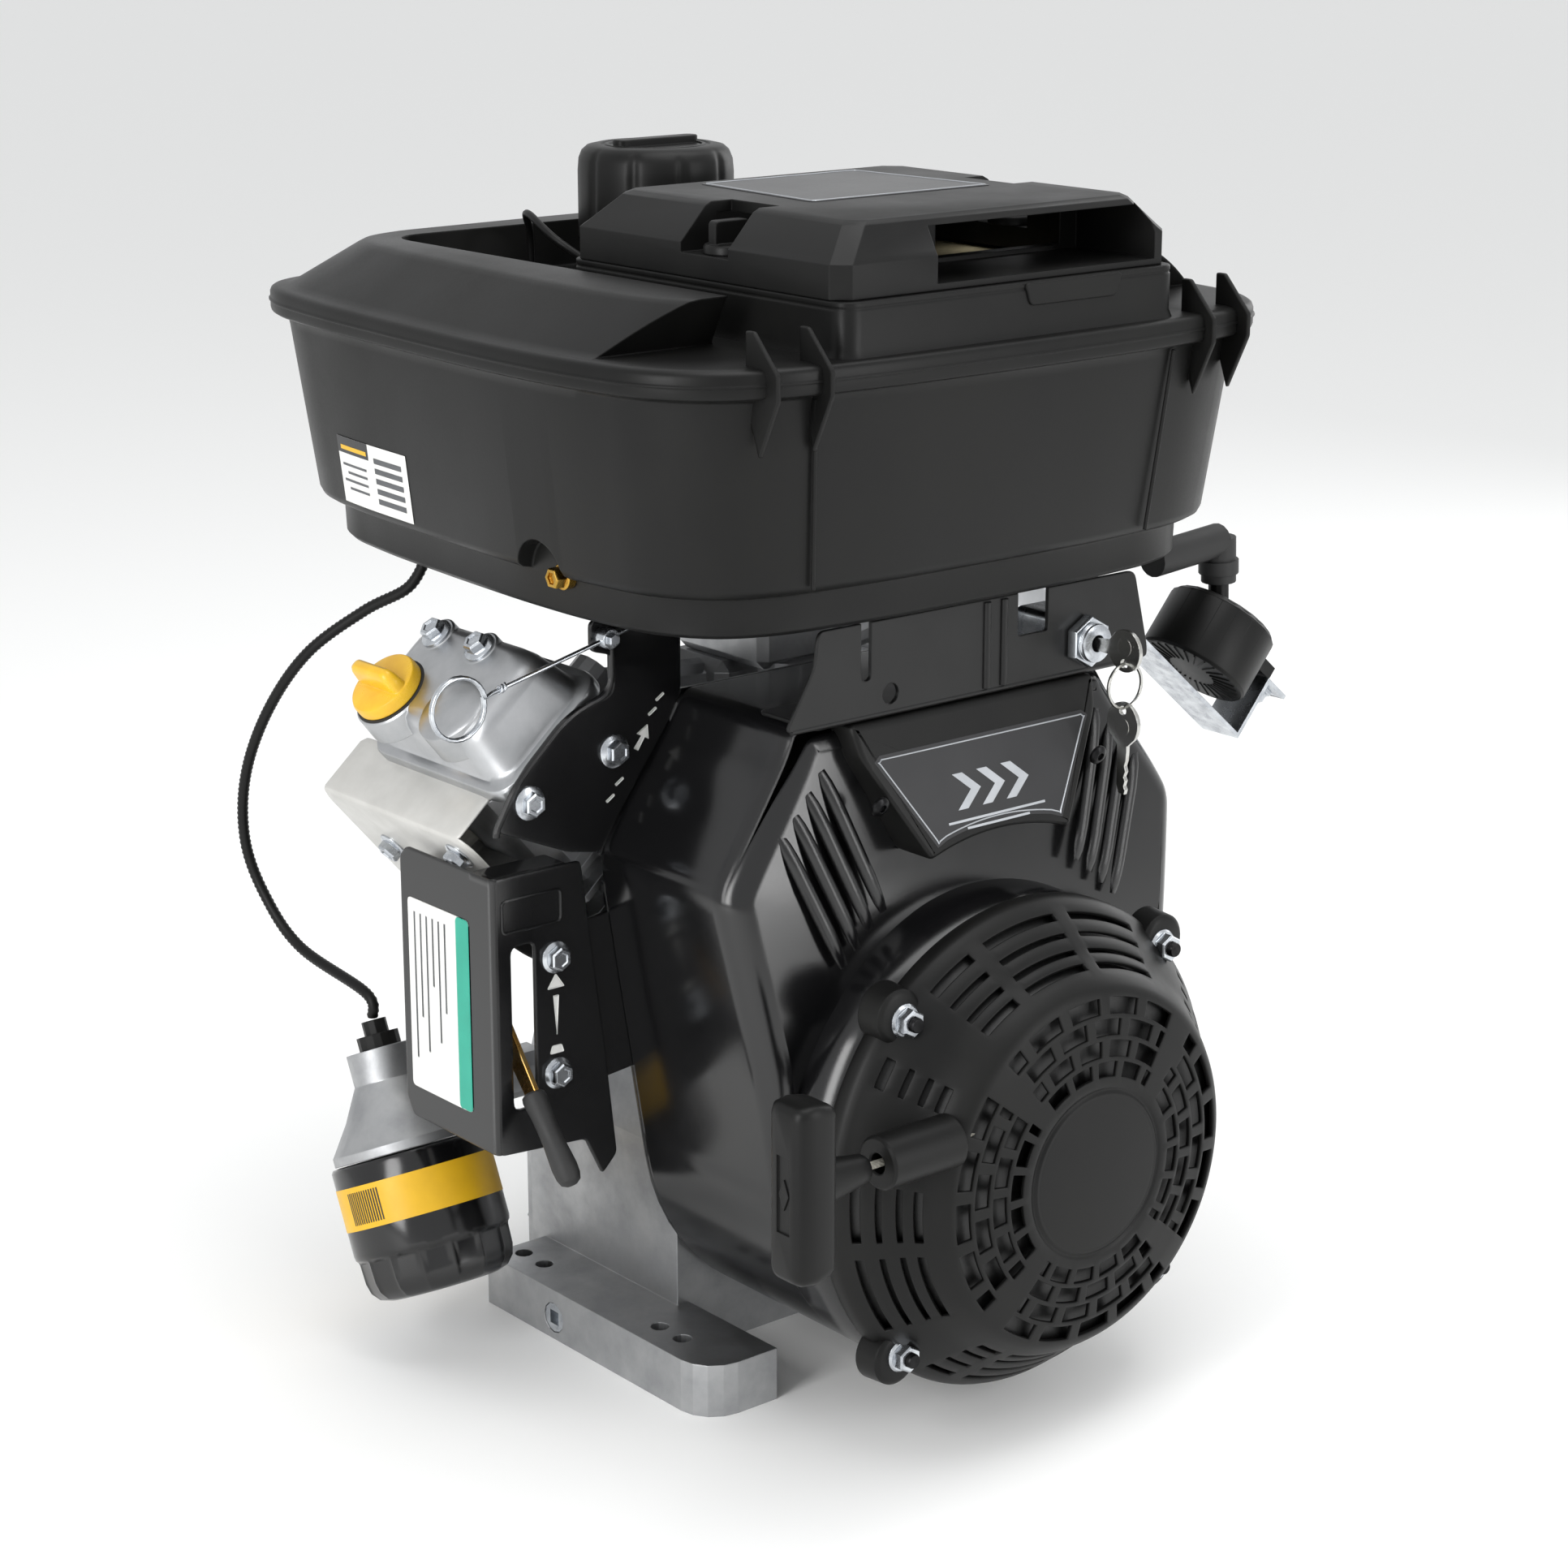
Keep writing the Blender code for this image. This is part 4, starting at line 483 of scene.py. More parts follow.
# Glazed ceramic shines like china. The black plastic, straight from a fine-grained mould,
# has only a soft sheen.
ceramic = surface("glazed_white_ceramic", "#e6e4dc", "#dcd9cf", (0.12, 0.2), 0.0, 12, 0.5, 0.004, 0.4)
black_plastic = surface(
    "satin_black_polypropylene", "#0f0f0f", "#141413", (0.34, 0.5), 0.0, 60, 0.45, 0.018, 1.0, 0.22
)
dress(ceramic, "spark_plug_left", "spark_plug_right")
dress(black_plastic, "ignition_coil_left", "ignition_coil_right")
for side in SIDES:
    turn = bank(side)
    route = [(-50.6, PLUG_Y, PLUG_U), (-66, PLUG_Y, PLUG_U), (-76, 18, 226.5)]
    route += [(-78, 0, 228), (-78, -16, 230)]
    route = [turn @ point for point in smooth_route(route, 16)]
    swell = [1.06, 1.1, 1.0, 0.97, 0.97, 1.0, 1.02, 1.02, 1.0, 0.99, 0.98, 0.97, 0.94, 0.92, 0.84]
    swell.append(0.62)
    name = f"plug_boot_{side}"
    sweep(f"{name}_moulding", route, 9.6, black_rubber, "engine", "rubber", name, radii=swell)
    nose = turn @ Vector((-78, -16, 230))
    way = (nose - turn @ Vector((-77, PLUG_Y, PLUG_U))).normalized()
    points = [nose + way * 1.6, nose + way * 10]
    if side == "left":
        points += [(-199, -26, 260), (-195, -38.9, 257)]
    else:
        points += [(196, -8, 268), (165, -22, 262), (150, -32.9, 262), (149, -39.2, 262)]
    points = smooth_route(points, 16)
    name = f"ignition_lead_{side}"
    lead = sweep(f"{name}_cable", points, 3.5, black_rubber, "engine", "rubber", name)


# ---------------------------------------------------------------- flywheel, fan and screen
# The cast flywheel carries a moulded fan, and a plastic screen that turns in front of it
# and keeps grass out. The recoil cover and its guard hide all of them.


def comb(name, base, hole, pitch):
    """Black plastic with a pattern of small dark cells, pitch mm apart, in the XZ plane. The cells stand
    for holes, and their dark hole colour is painted shade.
    """
    material = surface(name, base, base, (0.35, 0.5), 0.0, 40, 0.4, 0.01, 0.6)
    tree = material.node_tree
    place = add_node(tree, "ShaderNodeTexCoord", {}, {}).outputs["Object"]
    flat = add_node(tree, "ShaderNodeMapping", {"Scale": (1, 0, 1)}, {"Vector": place})
    cells = {"Scale": 1000 / pitch, "Randomness": 0.25, "feature": "DISTANCE_TO_EDGE"}
    cells = add_node(tree, "ShaderNodeTexVoronoi", cells, {"Vector": flat.outputs["Vector"]})
    wall = {"From Min": 0.08, "From Max": 0.16, "To Min": 0.0, "To Max": 1.0}
    wall = add_node(tree, "ShaderNodeMapRange", wall, {"Value": cells.outputs["Distance"]})
    # The hole colour is painted shade: the dark inside each cell's hole, put in as colour.
    mix = {"data_type": "RGBA", 6: colour(base), 7: colour(hole)}
    mix = add_node(tree, "ShaderNodeMix", mix, {0: wall.outputs["Result"]})
    shader = tree.nodes["Principled BSDF"]
    tree.links.new(mix.outputs[2], shader.inputs["Base Color"])
    return material


# The screen's cells are 5.5 mm apart, and show as dark pits of painted shade in charcoal plastic.
dress(comb("honeycomb_nylon_with_painted_shade", "#3a3a3a", "#050505", 5.5), "rotating_screen")
dress(black_plastic, "cooling_fan", "recoil_pulley")


# ---------------------------------------------------------------- blower housing
# Deep-drawn steel shell over the flywheel and fan, in gloss black enamel. A ring runs round
# the recoil starter, and an arm with four pressed ribs leads air up to each cylinder.


def inset(outline, distance):
    """A dense closed outline drawn in by a distance."""
    result = []
    area = sum(a[0] * b[1] - b[0] * a[1] for a, b in zip(outline, outline[1:] + outline[:1]))
    turn = 1 if area > 0 else -1
    for i, point in enumerate(outline):
        along = Vector(outline[(i + 1) % len(outline)]) - Vector(outline[i - 1])
        inward = Vector((-along.y, along.x)) * turn
        if inward.length > 0:
            inward.normalize()
        result.append(Vector(point) + inward * distance)
    return result


def front_loft(outline, steps):
    """A solid from an (x, z) outline, through (inset, y) steps."""
    return loft([[(x, y, z) for x, z in inset(outline, d)] for d, y in steps])


def housing_outline(steps=30):
    """The (x, z) outline of a round drum with two arms that reach up to the cylinders."""
    left = []
    for i in range(steps + 1):
        angle = math.radians(270 - 80 * i / steps)
        left.append((133 * math.cos(angle), CRANK_Z + 133 * math.sin(angle)))
    arm = [left[-1], (-157, 286), (-160, 306), (-150, 322), (-114, 371), (-106, 386), (0, 386)]
    arm = rounded([(0, CRANK_Z), *arm], 15, 6)
    first = next(i for i, point in enumerate(arm) if point[0] < left[-1][0] - 1)
    arm = [tuple(point) for point in arm[first:] if point[1] < 388 and point[0] < -12]
    left += [point for point in arm if point[1] > left[-1][1]]
    return left + [(-x, z) for x, z in reversed(left[1:])]


def resample(outline, gap):
    """The same closed outline with its points an even gap apart."""
    result = []
    for a, b in zip(outline, outline[1:] + outline[:1]):
        a, b = Vector(a), Vector(b)
        count = max(1, round((b - a).length / gap))
        result += [a.lerp(b, i / count) for i in range(count) if (b - a).length > 0.05]
    return result


def lean_back(x, y, z):
    """The y of a point of the front, which sets back as the arms leave the ring."""
    reach = max(0, math.hypot(x, z - CRANK_Z) - 145)
    return y + 0.2 * reach if y < -140 else y


# Baked enamel is deep black and glossy, with a trace of orange peel.
gloss_enamel = surface(
    "gloss_black_enamel", "#0c0c0d", "#101011", (0.12, 0.22), 0.0, 70, 1.6, 0.01, 2.0, 0.6
)
outline = resample(housing_outline(), 6)
steps = [(0, -43), (0, -60), (0, -149)]
for i in range(1, 9):
    angle = math.radians(90 * i / 8)
    steps.append((14 * (1 - math.cos(angle)), -149 - 16 * math.sin(angle)))
shell = front_loft(outline, steps)
for vert in shell.verts:
    vert.co.y = lean_back(*vert.co)
housing = piece("blower_housing_shell", shell, gloss_enamel, "engine", "black_enamel", "blower_housing")
hollow = front_loft(outline, [(2.6, -30), (2.6, -142)])
combine(housing, "DIFFERENCE", hollow, bar((0, -200, CRANK_Z), (0, -130, CRANK_Z), 112, 64))
ring = [(112, -188), (112, -190), (116, -190), (121, -189), (125, -186.4), (128.6, -182)]
ring += [(131.4, -176), (132.8, -168), (133.2, -158), (133.2, -150), (129, -150), (129, -168)]
ring += [(126, -179), (120, -187)]
ring = lathe([(radius, -y) for radius, y in ring], (0, 0, CRANK_Z), (0, -1, 0), 128)
piece("blower_housing_ring", ring, gloss_enamel, "engine", "black_enamel")
ribs = []
for sign in (-1, 1):
    for i in range(4):
        top = Vector((sign * (126 - i * 9.5), 0, 334 + i * 9.5))
        foot = Vector((sign * (96 - i * 9), 0, 262 + i * 8))
        along, profile = (foot - top).normalized(), []
        across = Vector((along.z, 0, -along.x))
        length = (foot - top).length
        for step in range(13):
            s = step / 12
            high = 3.4 * min(1, 4.5 * s, 4.5 * (1 - s)) ** 0.5 + 0.05
            centre = top + along * length * s
            base = lean_back(centre.x, -164.6, centre.z)
            wide = 4.2 * (0.55 + 0.45 * high / 3.4)
            shape = [(math.cos(math.pi * k / 8), math.sin(math.pi * k / 8)) for k in range(9)]
            section = [centre + across * c * wide + Vector((0, base - d * high, 0)) for c, d in shape]
            section.append(centre + Vector((0, base + 2, 0)))
            profile.append(section)
        ribs.append(loft(profile))
piece("blower_housing_ribs", merged(*ribs), gloss_enamel, "engine", "black_enamel")
dress(gloss_enamel, "backing_plate")


# ---------------------------------------------------------------- trim panel
# A moulded plate between the arms, with a dark printed label inside a thin silver line, and
# two star-drive screws. The lettering of the real label is left out.

# Printed film is flat, smooth and dark, and inks lie on it as thin films of their own.
label_black = surface("printed_label_film", "#1c1c1e", "#222224", (0.28, 0.36), 0.0, 80, 1.2, 0.003, 0.5)
silver_ink = surface("silver_ink", "#b9bcc0", "#a9acb0", (0.3, 0.4), 0.7, 20, 0.8, 0.002, 0.1)
white_ink = surface("white_ink", "#e9e9e6", "#dededb", (0.4, 0.5), 0.0, 20, 0.8, 0.002, 0.1)


def trim_y(z):
    """The trim panel's front at height z."""
    return max(-178 + 16 * (z - 315) / 52, -178)


half = [(-86, 386), (-83, 368), (-49, 311.8)]
for i in range(1, 9):
    angle = math.radians(107 - 17 * i / 8)
    half.append((167.4 * math.cos(angle), CRANK_Z + 167.4 * math.sin(angle)))
trim = half + [(-x, z) for x, z in reversed(half[:-1])]
trim = inset(resample(rounded(trim, 4, 3), 4), 0.4)
rings = []
for d, y in ((0, 0), (0, 1), (0.5, 2.6), (2, 3.8), (4, 4)):
    ring = inset(trim, d)
    rings.append([(x, -140 if y == 0 else trim_y(z) + 4 - y, z) for x, z in ring])
piece("trim_panel_moulding", loft(rings), black_plastic, "engine", "black_plastic", "trim_panel")
label = [(-71, 369), (-75, 366), (-44, 318.4)]
for i in range(1, 9):
    angle = math.radians(104 - 14 * i / 8)
    label.append((173 * math.cos(angle), CRANK_Z + 173 * math.sin(angle)))
label = resample(label + [(-x, z) for x, z in reversed(label[:-1])], 3)
rings = [[(x, trim_y(z) - lift, z) for x, z in label] for lift in (-0.3, 0.12)]
piece("trim_panel_label", loft(rings), label_black, "engine", "black_plastic")


def closed_wire(points, radius, steps=8):
    """A round bead along a closed line of points in mm."""
    mesh, rings = bmesh.new(), []
    for i, point in enumerate(points):
        along = Vector(points[(i + 1) % len(points)]) - Vector(points[i - 1])
        turn = Vector((0, 0, 1)).rotation_difference(along).to_matrix()
        angles = [2 * math.pi * k / steps for k in range(steps)]
        spots = [turn @ Vector((math.cos(a), math.sin(a), 0)) * radius for a in angles]
        rings.append([mesh.verts.new(Vector(point) + spot) for spot in spots])
    for i, ring in enumerate(rings):
        following = rings[(i + 1) % len(rings)]
        gaps = []
        for shift in range(steps):
            ahead = following[shift:] + following[:shift]
            gaps.append(sum((a.co - b.co).length for a, b in zip(ring, ahead)))
        shift = gaps.index(min(gaps))
        ahead = following[shift:] + following[:shift]
        for k in range(steps):
            m = (k + 1) % steps
            mesh.faces.new((ring[k], ring[m], ahead[m], ahead[k]))
    return mesh


line = closed_wire([(x, trim_y(z) - 0.15, z) for x, z in inset(label, 2.2)], 0.45)
piece("trim_panel_line", line, silver_ink, "engine", "zinc_steel")
chevrons = []
for x in (-26, -9, 8):
    mark = [(x, 352), (x + 7, 352), (x + 18, 343), (x + 7, 334), (x, 334), (x + 11, 343)]
    chevrons.append(loft([[(a, trim_y(b) - lift, b) for a, b in mark] for lift in (0, 0.22)]))
for z, wide in ((329, 34), (325, 22)):
    mark = [(-wide, z), (wide, z), (wide, z - 1.2), (-wide, z - 1.2)]
    chevrons.append(loft([[(a, trim_y(b) - lift, b) for a, b in mark] for lift in (0, 0.22)]))
piece("trim_panel_marks", merged(*chevrons), silver_ink, "engine", "zinc_steel")
# Black oxide leaves the steel nearly black, with the metal's own gleam.
black_oxide = surface("black_oxide_steel", "#1a1a1b", "#2b2b2c", (0.25, 0.4), 0.9, 6, 0.4, 0.01, 0.4)
screws = []
for x in (-77, 77):
    place, axis = Vector((x, trim_y(345), 345)), Vector((0, -52, -16)).normalized()
    head = [(0, 0), (5.4, 0), (5.3, 1.4), (4, 2.5), (2.6, 3), (2.2, 3), (1.8, 1.4), (0, 1.4)]
    screws.append(lathe(head, place, axis, 24))
piece("trim_panel_screws", merged(*screws), black_oxide, "engine", "black_plastic")


# ---------------------------------------------------------------- recoil starter
# Satin black moulded cover over the rope pulley, with rows of slots for the cooling air and
# a fine near-black guard behind them that paints the shade in the slots, four bosses with studs, a centre
# disc and a round rope mouth.

profile = [(20, -254), (43, -254), (43.8, -253.2), (45, -252.6), (46.2, -253.2), (47, -253.6)]
profile += [(52, -253.4), (60, -252.8), (62.5, -252.4), (71, -251.4), (73.5, -251), (82, -249.8)]
profile += [(84.5, -249.4), (93, -247.6), (96, -246.6), (99, -244), (102, -240), (105, -235.5)]
profile += [(107.5, -231.5), (111, -226.6), (113, -224.4), (118, -218.6), (120, -216.4)]
profile += [(125, -210.4), (128, -206.4), (131, -202.6), (133, -200.2), (134.3, -197.4), (134.4, -190.4)]
# The bands of the profile that have slots: on the front, in two staggers, or on the edge.
FRONT, STAGGERED, EDGE = range(3)
open_rows = {6: FRONT, 8: STAGGERED, 10: FRONT, 12: STAGGERED}
open_rows |= {17: EDGE, 19: EDGE, 21: EDGE, 23: EDGE}
cover = bmesh.new()
columns = 240
grid = []
for radius, y in profile:
    row = []
    for i in range(columns):
        angle = 2 * math.pi * i / columns
        spot = (radius * math.cos(angle), y, CRANK_Z + radius * math.sin(angle))
        row.append(cover.verts.new(spot))
    grid.append(row)
for k, (low, high) in enumerate(zip(grid, grid[1:])):
    kind = open_rows.get(k)
    for i in range(columns):
        degrees = 360 * (i + 0.5) / columns
        lug = abs(degrees % 90 - 45)
        mouth = abs(degrees - 163) < 11
        cell = i % 18 if kind == EDGE else (i + (5 if kind == STAGGERED else 0)) % 12
        plain = 9 if kind == EDGE else 5.5 + (profile[k][0] - 60) * 0.04
        if kind is None or cell < 3 or lug < plain or (mouth and k > 14):
            cover.faces.new((low[i], low[(i + 1) % columns], high[(i + 1) % columns], high[i]))
cover.faces.new(grid[0])
cover = piece("recoil_cover_moulding", cover, black_plastic, "engine", "black_plastic", "recoil_cover")
thick = cover.modifiers.new("wall", "SOLIDIFY")
thick.thickness = 2.6 * MM
thick.offset = -1
thick.use_even_offset = False
edges = cover.modifiers.new("edges", "BEVEL")
edges.width = 0.45 * MM
edges.segments = 2
edges.angle_limit = math.radians(50)
guard = [(46, 246), (96, 241.5), (107, 222.5), (129.5, 196), (129.5, 194), (105.6, 221)]
guard += [(95, 239.8), (46, 244.6)]
guard = lathe(guard, (0, 0, CRANK_Z), (0, -1, 0), 96)
# The guard's holes are too fine to show, so they are drawn 4 mm apart as near-black cells of painted shade.
# The whole guard is kept near-black, so the slots in front of it show painted shade.
guard_nylon_and_painted_shade = comb("fine_mesh_nylon_with_painted_shade", "#0b0b0b", "#010101", 4.0)
piece("recoil_guard", guard, guard_nylon_and_painted_shade, "engine", "black_plastic")
disc = [(0, 254.2), (40, 254.2), (42.6, 253.8), (42.6, 252), (0, 252)]
extras = [lathe(disc, (0, 0, CRANK_Z), (0, -1, 0), 96)]
ROPE_Y, ROPE_Z = -240.5, 190  # the rope's line, along X
mouth = [(5.2, 139), (6, 139.8), (12.6, 139.8), (14, 138.4), (14, 92), (5.2, 92)]
extras.append(lathe(mouth, (0, ROPE_Y, ROPE_Z), (-1, 0, 0), 48))
lug = [(0, 190.4), (15.5, 190.4), (14.4, 204), (13, 205.4), (11.5, 206), (0, 206)]
stud = [(0, 7), (3.9, 7), (4, 7.6), (3.5, 8.2), (4, 8.8), (3.5, 9.4), (4, 10), (3.6, 11), (0, 11)]
nuts, studs = [], []
for sign_x in (-1, 1):
    for sign_z in (-1, 1):
        place = (sign_x * 94, 0, CRANK_Z + sign_z * 94)
        extras.append(lathe(lug, place, (0, -1, 0), 36))
        place = (sign_x * 92, -206, CRANK_Z + sign_z * 92)
        nuts.append(flange_bolt(place, (0, -1, 0), 7.5, 9, 8))
        studs.append(lathe(stud, place, (0, -1, 0), 20))
piece("recoil_cover_bosses", merged(*extras), black_plastic, "engine", "black_plastic")
piece("recoil_nuts", merged(*nuts), bright_zinc, "engine", "zinc_steel")
piece("recoil_studs", merged(*studs), black_oxide, "engine", "forged_steel")


# ---------------------------------------------------------------- starter rope and handle
# A braided nylon rope from the pulley to a moulded T-shaped handle. The handle's neck rests
# in the rope mouth, and its face has a raised arrow in a sunken panel.


def braided(name, base, tint):
    """A braided cord: slanting strands, drawn about 4 mm wide so that they show."""
    material = surface(name, base, tint, (0.6, 0.8), 0.0, 6, 0.5, 0.05, 0.2)
    tree = material.node_tree
    place = add_node(tree, "ShaderNodeTexCoord", {}, {}).outputs["Object"]
    weave = {"Scale": 260.0, "Distortion": 2.0, "bands_direction": "DIAGONAL"}
    weave = add_node(tree, "ShaderNodeTexWave", weave, {"Vector": place})
    bump = {"Strength": 0.8, "Distance": 0.3 * MM}
    bump = add_node(tree, "ShaderNodeBump", bump, {"Height": weave.outputs["Fac"]})
    tree.links.new(bump.outputs["Normal"], tree.nodes["Principled BSDF"].inputs["Normal"])
    return material


# The rope is off-white and dull, and dirt darkens it in patches.
nylon_rope = braided("braided_nylon_rope", "#c9c6ba", "#8b887d")
rope = [(0, 0)] + [(2, i * 2.4) for i in range(62)] + [(0, 146.4)]
rope = lathe(rope, (0, 0, 0), (-1, 0, 0), 16)
bmesh.ops.translate(rope, vec=(-1, ROPE_Y, ROPE_Z), verts=rope.verts)
bmesh.ops.scale(rope, vec=(MM, MM, MM), verts=rope.verts)
rope_data = bpy.data.meshes.new("starter_rope_braid")
rope.to_mesh(rope_data)
rope.free()
rope_data.shade_smooth()
rope_data.materials.append(nylon_rope)
rope = bpy.data.objects.new("starter_rope_braid", rope_data)
bpy.context.scene.collection.objects.link(rope)
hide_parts("starter_rope")
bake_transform(rope)
route = [(-0.001 - i * 0.0024, -0.2405, 0.19) for i in range(62)]
rings = []
for x, half_y, half_z in (
    (-176.5, 10, 41),
    (-178, 12, 43.5),
    (-181, 13, 45),
    (-190, 13.4, 46.6),
    (-197, 12.6, 46),
    (-199.6, 10.6, 44.6),
    (-201, 7.6, 42),
):
    ring = [(-half_y, -half_z), (half_y, -half_z), (half_y, half_z), (-half_y, half_z)]
    ring = rounded(ring, min(6, half_y * 0.6), 5)
    rings.append([(x, -242 + a, ROPE_Z + b) for a, b in ring])
name = "starter_handle"
handle = piece(f"{name}_bar", loft(rings), black_plastic, "handle", "black_plastic", name)
groove = [(-246.8, 170), (-237.2, 170), (-237.2, 210), (-246.8, 210)]
combine(handle, "DIFFERENCE", loft([[(x, y, z) for y, z in groove] for x in (-205, -200)]))
neck = [(0, 0), (11.5, 0), (11, 6), (8.6, 20), (7.8, 26.8), (6.6, 28.6), (0, 28.6)]
neck = lathe(neck, (-177, ROPE_Y, ROPE_Z), (1, 0, 0), 32)
piece("starter_handle_neck", neck, black_plastic, "handle", "black_plastic")
arrow = [(-245.6, 190), (-242, 182), (-238.4, 190), (-242, 198)]
arrow = loft([[(x, y, z) for y, z in arrow] for x in (-199.4, -200.7)])
piece("starter_handle_arrow", arrow, black_plastic, "handle", "black_plastic")


# ---------------------------------------------------------------- control panel
# A folded sheet steel box on the left, in gloss black enamel, with the throttle's slot, a
# pressed frame, two zinc bolts and a printed data label. Its marks are plain shapes.


def sheet(outline, low, high, axis, radius=2.5):
    """A flat sheet with rounded corners and eased edges, between two levels of an axis."""
    shape = resample(rounded(outline, radius, 4), 4)
    rings = []
    for d, level in ((0.5, low), (0, low + 0.5), (0, high - 0.5), (0.5, high)):
        ring = inset(shape, d)
        if axis == "x":
            rings.append([(level, a, b) for a, b in ring])
        elif axis == "y":
            rings.append([(a, level, b) for a, b in ring])
        else:
            rings.append([(a, b, level) for a, b in ring])
    return loft(rings)


def oblong(a0, a1, b0, b1):
    """A rectangle's four corners, from its limits along the two axes."""
    return [(a0, b0), (a1, b0), (a1, b1), (a0, b1)]


front = [(-228.5, 155), (-174, 151), (-163, 128), (-153, 138), (-160, 200), (-174, 306)]
front = sheet([*front, (-228.5, 306)], -45, -43, "y", 3)
panel = piece("control_panel_front", front, gloss_enamel, "engine", "black_enamel", "control_panel")
combine(panel, "DIFFERENCE", sheet(oblong(-219.5, -204.5, 178, 268), -50, -40, "y", 5))
side_sheet = [(-43.5, 155), (34, 155), (40, 165), (40, 300), (34, 306), (-43.5, 306)]
side_sheet = sheet(side_sheet, -230, -228, "x", 3)
roof = sheet(oblong(-228.5, -182, -43.5, -24), 304, 306, "z", 2)
fold = bar((-228, -43, 155.6), (-228, -43, 305.4), 2, 24)
roof_fold = bar((-227.5, -43, 304), (-183, -43, 304), 2, 24)
corner_fold = bar((-228, -42.5, 304), (-228, -25, 304), 2, 24)
whole = merged(side_sheet, roof, fold, roof_fold, corner_fold)
piece("control_panel_folds", whole, gloss_enamel, "engine", "black_enamel")
bead = rounded(oblong(-224.5, -187.5, 276, 293.5), 3, 4)
bead = closed_wire([(x, -45.1, z) for x, z in bead], 0.9)
piece("control_panel_bead", bead, gloss_enamel, "engine", "black_enamel")
bolts = [flange_bolt((-191.5, -45, z), (0, -1, 0), 6.5, 8.6, 6.6) for z in (257, 193)]
piece("control_panel_bolts", merged(*bolts), bright_zinc, "engine", "zinc_steel")
marks = [sheet([(-193.2, 236), (-189.8, 236), (-191.3, 214)], -45.2, -44.9, "y", 0.3)]
marks.append(sheet([(-197, 240), (-186, 240), (-191.5, 248)], -45.2, -44.9, "y", 1))
marks.append(sheet([(-196, 204), (-187, 204), (-188.5, 208.5), (-194.5, 208.5)], -45.2, -44.9, "y", 1))
piece("control_panel_marks", merged(*marks), white_ink, "engine", "white_ceramic")
# The data label is white film with a teal band and dark grey print.
teal_ink = surface("teal_label_film", "#1f9f87", "#1c957e", (0.35, 0.45), 0.0, 30, 0.8, 0.003, 0.2)
label = sheet(oblong(-23, 33, 173, 279), -230.3, -229.9, "x", 3)
piece("data_label", label, white_ink, "engine", "white_ceramic")
label = sheet(oblong(-23, -11, 173, 279), -230.5, -229.9, "x", 3)
piece("data_label_band", label, teal_ink, "engine", "white_ceramic")
grey_ink = surface("grey_ink", "#55575a", "#4a4c4f", (0.4, 0.5), 0.0, 20, 0.8, 0.002, 0.1)
lines = []
for i, length in enumerate((84, 60, 78, 40, 70, 52)):
    y = 27 - i * 5.6
    lines.append(sheet(oblong(y - 0.8, y + 0.8, 274 - length, 272), -230.45, -229.9, "x", 0.3))
piece("data_label_lines", merged(*lines), grey_ink, "engine", "black_plastic")


# ---------------------------------------------------------------- throttle lever
# A stamped strip in yellow passivated zinc plate that turns on a pin inside the panel, with
# a moulded rubber grip pushed on its end.

# Yellow passivation gives zinc plate an uneven golden colour, with its sheen kept.
yellow_zinc = surface("yellow_passivated_zinc", "#b98a45", "#8f7a4e", (0.2, 0.36), 1.0, 7, 0.4, 0.01, 0.4)
down = math.radians(50)
way = Vector((0, -math.cos(down), -math.sin(down)))
rise = Vector((0, math.sin(down), -math.cos(down)))
pivot = Vector((-212, -5, 243))
strip = [(-9, -6), (-9, 6), (30, 7), (78, 5), (78, -5), (30, -7)]
strip = resample(rounded(strip, 5, 5), 3)
rings = []
for d, x in ((0.4, -1.5), (0, -1.1), (0, 1.1), (0.4, 1.5)):
    rings.append([pivot + way * a + rise * b + Vector((x, 0, 0)) for a, b in inset(strip, d)])
pin = [(0, -2.4), (4.4, -2.4), (4.6, 0), (4.4, 2.4), (0, 2.4)]
lever = merged(loft(rings), lathe(pin, pivot, (1, 0, 0), 24))
piece("throttle_lever_strip", lever, yellow_zinc, "throttle", "yellow_zinc", "throttle_lever")
profile = [(0, -0.6), (4.6, -0.6), (6.2, 0.6), (6.7, 3), (6.5, 6), (5.9, 12), (5.7, 20), (5.9, 28)]
profile += [(6.5, 36), (6.9, 42), (6.6, 47), (5.4, 50.6), (3, 52.2), (0, 52.6)]
grip = lathe(profile, pivot + way * 72, way, 32)
piece("throttle_grip_moulding", grip, black_rubber, "throttle", "rubber", "throttle_grip")


# ---------------------------------------------------------------- choke bracket and pull
# A bent sheet bracket in gloss black enamel holds the choke wire's guide under the tank's
# corner. The pull is one steel wire whose end is coiled twice into a finger ring.

outline = [(-107.3, 432), (-107.3, 386.8), (-115.2, 371.8), (-151.3, 323), (-162, 308)]
outline += [(-182, 312), (-226, 331), (-212, 355), (-180, 384), (-152, 392), (-152, 412)]
outline += [(-166, 416), (-166, 432)]
bracket = sheet(outline, -45.3, -43, "y", 4)
edge = [(-152, 412), (-152, 392), (-180, 384), (-212, 355), (-226, 331)]
edge = [Vector((x, -44, z)) for x, z in rounded([(-152, 420), *edge, (-226, 325)], 12, 6)[7:-7]]
piece("choke_bracket_sheet", bracket, gloss_enamel, "engine", "black_enamel", "choke_bracket")
sweep("choke_bracket_roll", edge, 1.9, gloss_enamel, "engine", "black_enamel")
bolts = [flange_bolt((x, -45.3, z), (0, -1, 0), 6.5, 9, 6.8) for x, z in ((-152, 361), (-206, 343))]
piece("choke_bracket_bolts", merged(*bolts), bright_zinc, "engine", "zinc_steel")
marks = []
